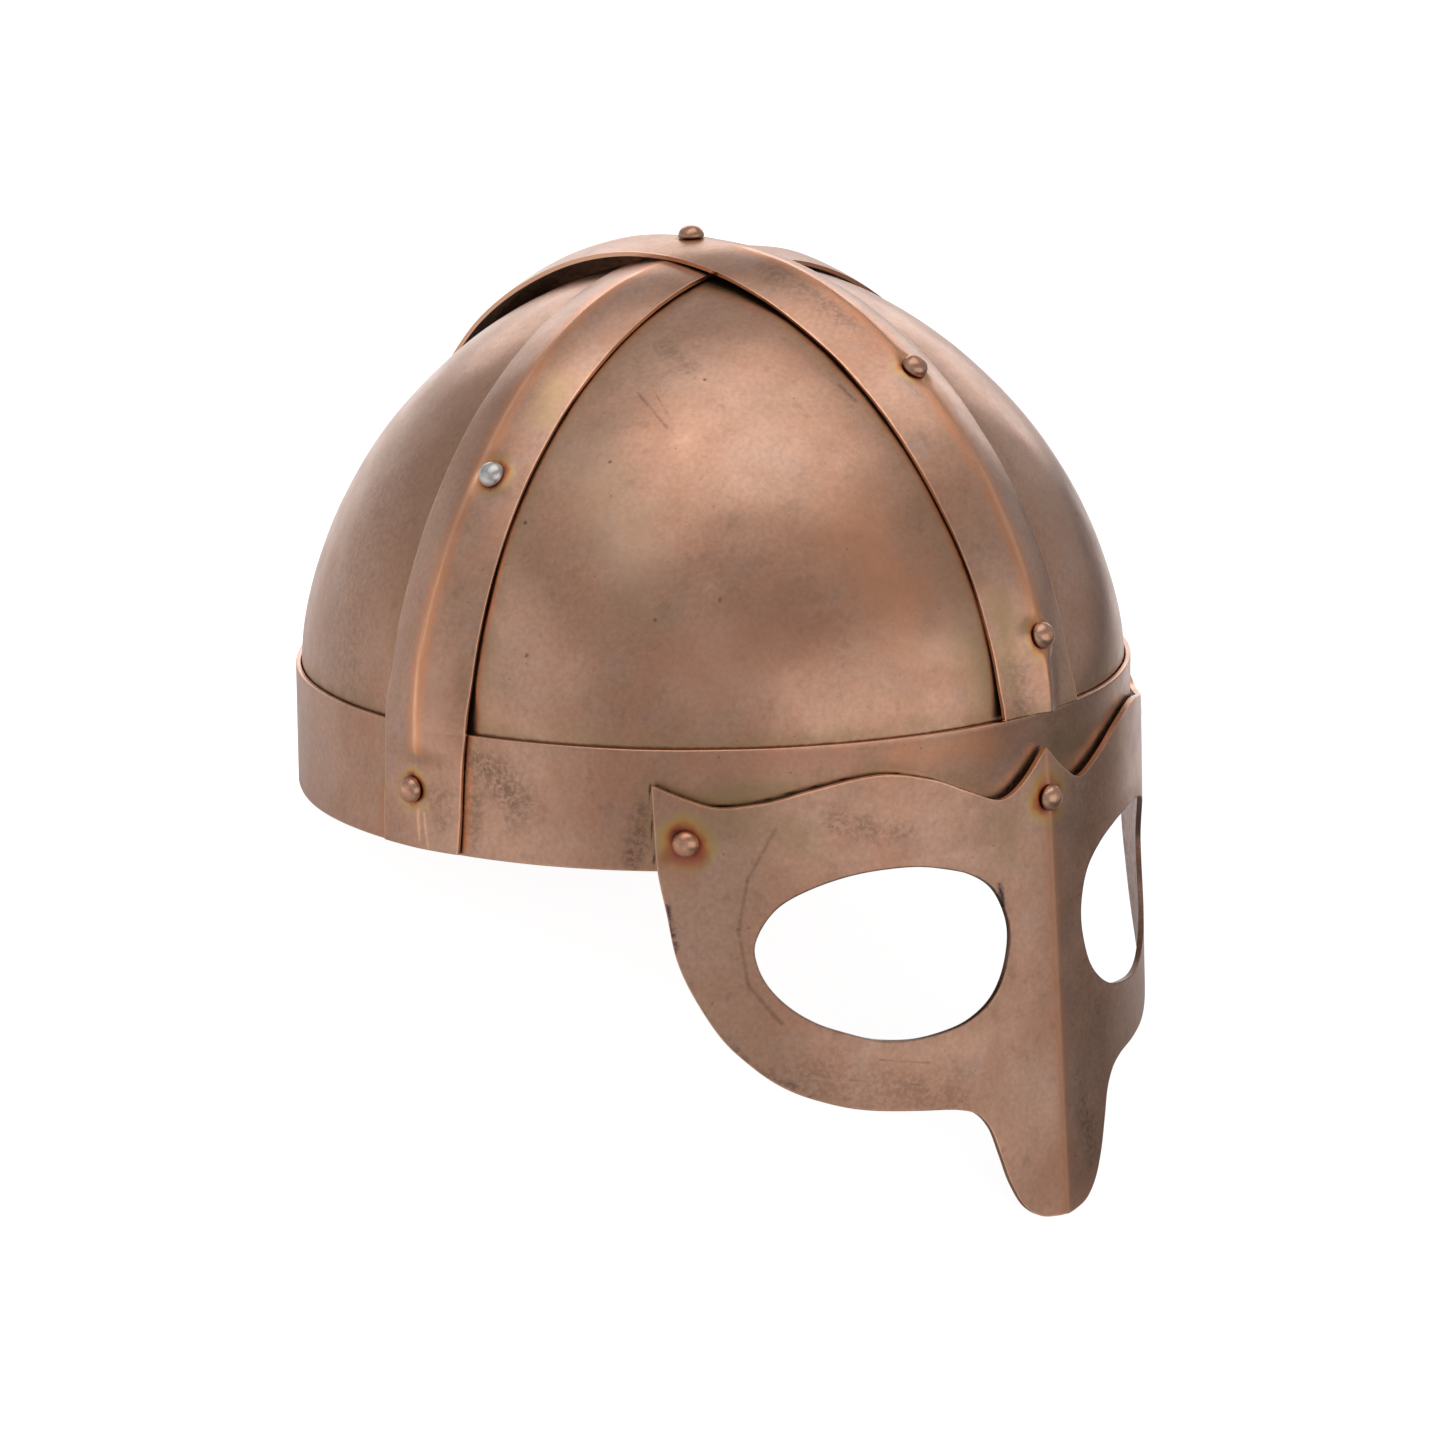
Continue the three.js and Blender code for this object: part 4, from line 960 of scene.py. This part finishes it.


# The antique copper finish: cloudy brown and light copper, redder and greyer patches, olive dirt where
# pieces lap, heat colours round rivets, pits and scratches, the single marks of the near side (a few of
# them painted shade), and bright metal at edges and ridges that is partly wear and partly painted
# highlight, with a painted amber highlight along the ridges.
def copperFinish(name, look, ownMarks, bare=False):
    material = bpy.data.materials.new(name)
    material.use_nodes = True
    tree = material.node_tree
    tree.nodes.clear()
    place = uprightPlace(tree)
    distance = {key: addNode(tree, "ShaderNodeAttribute", attribute_name=key).outputs["Fac"] for key in wearKeys}

    def patches(size, low, high, shift=0.0):
        return useGroup(tree, "mottle", {"Place": place, "Size": size, "Low": low, "High": high, "Shift": shift})

    def border(key, width, ragged, grain):
        return useGroup(tree, "border", {"Place": place, "Distance": distance[key], "Width": width,
                                         "Ragged": ragged, "Grain": grain})

    def strength(mask, amount):
        return calc(tree, "MULTIPLY", mask, amount)

    colour = mixColour(tree, patches(34.0, 0.3, 0.7), copperTones["brown"], copperTones["light"])
    colour = mixColour(tree, strength(patches(21.0, 0.5, 0.75, 7.3), look["red"]), colour, copperTones["red"])
    colour = mixColour(tree, strength(patches(15.0, 0.5, 0.75, 5.2), 0.3), colour, copperTones["grey"])
    colour = mixColour(tree, strength(patches(12.0, 0.52, 0.7, 3.1), look["lilac"]), colour, copperTones["lilac"])
    grain = patches(1.4, 0.7, 0.3, 1.7)
    colour = mixColour(tree, strength(grain, 0.2), colour, copperTones["smokeAndShade"])
    colour = mixColour(tree, strength(patches(4.5, 0.56, 0.72, 2.9), 0.2), colour, copperTones["smokeAndShade"])
    oliveMask = calc(tree, "MULTIPLY", border("lap", look["oliveWidth"], 3.0, 6.0), patches(6.0, 0.25, 0.6, 9.1))
    colour = mixColour(tree, strength(oliveMask, look["olive"]), colour, copperTones["olive"])
    heat = useGroup(tree, "heat", {"Place": place, "Distance": distance["halo"], "Reach": look["heatReach"]}, "Color")
    heatMask = heat.node.outputs["Mask"]
    colour = mixColour(tree, strength(heatMask, look["heat"]), colour, heat)
    broad, fine = (addNode(tree, "ShaderNodeTexNoise", {"Vector": place, "Scale": 1 / size, "Detail": 3.0,
                                                        "Roughness": 0.62}).outputs["Fac"] for size in (9.0, 1.4))
    stained = None
    for tone, amount, width, ragged, start, end in ownMarks:
        mask = useGroup(tree, "mark", {"Place": place, "Start": start, "Run": [b - a for a, b in zip(start, end)],
                                       "Width": width, "Ragged": ragged, "Noise": fine if ragged < 2.5 else broad})
        if tone == "smokeAndShade" and width > 2.5:
            mask = calc(tree, "MULTIPLY", mask, fade(tree, fine, 0.4, 0.6, 0.3, 1.0))
        mask = strength(mask, amount)
        colour = mixColour(tree, mask, colour, copperTones[tone])
        if tone in ("smokeAndShade", "dark", "ink", "wine") and width < 4:
            stained = mask if stained is None else calc(tree, "MAXIMUM", stained, mask)
    colour = mixColour(tree, strength(border("lap", 0.6, 0.4, 2.5), look["seam"]), colour, copperTones["dark"])
    pits = useGroup(tree, "pits", {"Place": place, "Size": 2.2, "Share": 0.12, "Radius": 0.2})
    pits = calc(tree, "MULTIPLY", pits, patches(14.0, 0.46, 0.6, 5.5))
    colour = mixColour(tree, strength(pits, look["pits"]), colour, copperTones["dark"])
    scratches = useGroup(tree, "scratches", {"Place": place, "Turn": (0.3, 0.5, 0.9), "Length": 16.0, "Width": 0.7,
                                             "Fineness": 0.012})
    scratches = calc(tree, "MULTIPLY", scratches, patches(22.0, 0.5, 0.62, 2.2))
    colour = mixColour(tree, strength(scratches, 0.22), colour, copperTones["bright"])
    # A painted amber highlight along the ridges, then bright metal at edges and ridges that is partly wear and partly
    # painted highlight.
    colour = mixColour(tree, strength(border("ridge", 4.2, 1.4, 9.0), look["ridgeAmberHighlight"]), colour, copperTones["amber"])
    wearAndHighlight = strength(border("edge", 0.6, 0.35, 3.0), look["edgeWearAndHighlight"])
    wearAndHighlight = calc(tree, "MAXIMUM", wearAndHighlight, strength(border("ridge", 1.3, 0.7, 8.0), look["ridgeWearAndHighlight"]))
    colour = mixColour(tree, wearAndHighlight, colour, copperTones["bright"])
    if bare:
        colour = mixColour(tree, patches(2.6, 0.6, 0.8, 4.4), copperTones["steel"], copperTones["light"])

    rough = calc(tree, "ADD", strength(patches(9.0, 0.3, 0.7, 6.0), 0.08), look["roughness"] - 0.04)
    rough = calc(tree, "ADD", rough, strength(oliveMask, 0.1))
    rough = calc(tree, "SUBTRACT", rough, strength(wearAndHighlight, 0.08))
    relief = calc(tree, "ADD", strength(patches(0.7, 0.2, 0.8), 0.25), strength(patches(3.2, 0.2, 0.8, 8.0), 0.8))
    relief = calc(tree, "SUBTRACT", relief, strength(pits, 1.4))
    relief = calc(tree, "SUBTRACT", relief, strength(scratches, 0.4))
    if stained is not None:
        relief = calc(tree, "SUBTRACT", relief, strength(stained, 1.2))
    bump = addNode(tree, "ShaderNodeBump", {"Height": relief, "Strength": 0.3, "Distance": 0.00006})
    shader = addNode(tree, "ShaderNodeBsdfPrincipled", {
        "Base Color": colour, "Roughness": rough, "Metallic": 1.0, "Normal": bump.outputs["Normal"],
        "Coat Weight": 0.3, "Coat Roughness": 0.25,
    })
    output = addNode(tree, "ShaderNodeOutputMaterial")
    tree.links.new(shader.outputs["BSDF"], output.inputs["Surface"])
    return material


# The unpolished inner faces: one tone with cloudy tarnish.
def plainInside(name, tone, roughness):
    material = bpy.data.materials.new(name)
    material.use_nodes = True
    tree = material.node_tree
    place = uprightPlace(tree)
    clouds = useGroup(tree, "mottle", {"Place": place, "Size": 18.0, "Low": 0.35, "High": 0.7, "Shift": 4.0})
    grain = useGroup(tree, "mottle", {"Place": place, "Size": 2.0, "Low": 0.4, "High": 0.7, "Shift": 1.0})
    colour = mixColour(tree, calc(tree, "MULTIPLY", clouds, 0.5), tone, copperTones["brown"])
    colour = mixColour(tree, calc(tree, "MULTIPLY", grain, 0.25), colour, copperTones["dark"])
    shader = tree.nodes["Principled BSDF"]
    tree.links.new(colour, shader.inputs["Base Color"])
    tree.links.new(calc(tree, "ADD", calc(tree, "MULTIPLY", grain, 0.1), roughness), shader.inputs["Roughness"])
    bump = addNode(tree, "ShaderNodeBump", {"Height": grain, "Strength": 0.3, "Distance": 0.00005})
    tree.links.new(bump.outputs["Normal"], shader.inputs["Normal"])
    shader.inputs["Metallic"].default_value = 1
    return material


finishes = {slot: copperFinish(slot + "Copper", look, marks[slot]) for slot, look in looks.items()}
finishes["bare"] = copperFinish("bareRivet", looks["rivet"], [], bare=True)
finishes["inside"] = plainInside("insideCopper", copperTones["lilac"], 0.34)
# The straps' undersides get the near-black tone: painted shade under the straps.
finishes["under"] = plainInside("underShadeCopper", copperTones["smokeAndShade"], 0.5)
print("stage: finishes made")

for rear in (False, True):
    for right in (True, False):
        words = ["rear" if rear else "front", "right" if right else "left"]
        plate = platePiece("skullPlate" + "".join(word.title() for word in words), right, rear)
        thicken(plate, skullForm["sheet"])
        finishPiece(plate, "skull_plate_" + "_".join(words), "skull", finishes["skull"], finishes["inside"])

band = bandPiece()
thicken(band, bandForm["sheet"])
finishPiece(band, "brow_band", "band", finishes["band"], finishes["inside"])

crestFoot = 1 + math.asin((gap / domeHeight) ** (skullForm["fullness"] / 2)) / quarter
for strap, first in (("crest", crestFoot), ("side", strapForm["sideFootInset"] / bandForm["height"])):
    piece = strapPiece(strap, first)
    thicken(piece, strapForm["sheet"])
    finishPiece(piece, strap + "_strap", "strap", finishes["strap"], finishes["under"])

mask = maskPiece()
thicken(mask, maskForm["sheet"])
finishPiece(mask, "spectacle_mask", "mask", finishes["mask"], finishes["inside"])

for index, (node, seat) in enumerate(seats.items()):
    rivet = rivetPiece(node, seat, index)
    finishPiece(rivet, node, "rivet", finishes["bare" if node == "rivet_side_right_upper" else "rivet"])
print("stage: pieces made")

# Light table and soft lights

lightTable = {
    "size": 8.0, "drop": 0.0002,
    "tone": 0.85, "darkTone": 0.2, "darkAzimuth": 50,   # it darkens towards the right
    "seen": 0.9,             # its own brightness to the camera
    "glow": 0.9,             # and to the metal, towards the back
    "glowAzimuth": 123, "glowDistance": 0.42, "glowReach": 0.5,
    "sideGlow": 0.3,         # a weaker glow towards the side that the camera sees
    "sideAzimuth": -106, "sideDistance": 0.5, "sideReach": 0.35,
}
roomTone = 0.37
# Soft lights round the helmet: azimuth and elevation in degrees, distance, width and height in metres,
# and brightness.
softLights = {
    "overhead": (175, 77, 1.5, 1.3, 1.3, 0.8),
    "upperLeft": (-120, 52, 1.6, 1.0, 0.9, 0.6),
    "left": (-112, 9, 1.6, 1.4, 0.5, 0.3),
    "behindLeft": (-157, 30, 1.7, 0.9, 0.7, 0.1),
    "fill": (-62, 30, 2.3, 1.3, 0.9, 0.15),
    "frontRight": (-6, 23, 1.6, 2.0, 1.1, 0.58),
    "backdrop": (135, 8, 1.2, 1.4, 0.6, 1.05),
}


# The table under the helmet: white to the camera, and brighter to the metal towards the backdrop.
def addFloor(table):
    bpy.ops.mesh.primitive_plane_add(size=table["size"], location=(0, 0, -table["drop"]))
    floor = bpy.context.object
    floor.name = "lightTable"
    material = bpy.data.materials.new("lightTable")
    material.use_nodes = True
    tree = material.node_tree
    place = addNode(tree, "ShaderNodeTexCoord").outputs["Object"]
    parts = []
    for key, brightness in (("glow", table["glow"]), ("side", table["sideGlow"])):
        azimuth = math.radians(table[key + "Azimuth"])
        middle = (math.sin(azimuth) * table[key + "Distance"], -math.cos(azimuth) * table[key + "Distance"], 0)
        away = addNode(tree, "ShaderNodeVectorMath", {0: place, 1: middle}, operation="DISTANCE").outputs["Value"]
        parts.append(fade(tree, away, table[key + "Reach"], 0.12, 0.0, brightness))
    glow = calc(tree, "ADD", *parts)
    seen = addNode(tree, "ShaderNodeLightPath").outputs["Is Camera Ray"]
    glow = addNode(tree, "ShaderNodeMix", {0: seen, 2: glow, 3: table["seen"]}, data_type="FLOAT").outputs[0]
    shader = tree.nodes["Principled BSDF"]
    side = math.radians(table["darkAzimuth"])
    across = addNode(tree, "ShaderNodeVectorMath", {0: place, 1: (math.sin(side), -math.cos(side), 0)},
                     operation="DOT_PRODUCT").outputs["Value"]
    tones = [(table[key],) * 3 + (1,) for key in ("tone", "darkTone")]
    tree.links.new(mixColour(tree, fade(tree, across, -0.1, 0.25), *tones), shader.inputs["Base Color"])
    shader.inputs["Roughness"].default_value = 0.9
    shader.inputs["Specular IOR Level"].default_value = 0.2
    shader.inputs["Emission Color"].default_value = (1, 1, 1, 1)
    tree.links.new(glow, shader.inputs["Emission Strength"])
    floor.data.materials.append(material)


def addSoftLight(name, azimuth, elevation, distance, width, height, brightness):
    azimuth, elevation = math.radians(azimuth), math.radians(elevation)
    aim = Vector((0, 0, 0.1))
    outward = Vector((math.sin(azimuth) * math.cos(elevation), -math.cos(azimuth) * math.cos(elevation),
                      math.sin(elevation)))
    data = bpy.data.lights.new(name, "AREA")
    data.shape = "RECTANGLE"
    data.size, data.size_y = width, height
    data.energy = brightness * math.pi * width * height
    lamp = bpy.data.objects.new(name, data)
    lamp.location = aim + outward * distance
    lamp.rotation_euler = outward.to_track_quat("Z", "Y").to_euler()
    lamp.visible_camera = False
    bpy.context.scene.collection.objects.link(lamp)


addFloor(lightTable)
for lightName, settings in softLights.items():
    addSoftLight(lightName, *settings)
world = bpy.data.worlds.new("room")
world.use_nodes = True
world.node_tree.nodes["Background"].inputs["Color"].default_value = (roomTone,) * 3 + (1,)
bpy.context.scene.world = world
bpy.context.scene.view_settings.view_transform = "Standard"
print("stage: light table and lights set")
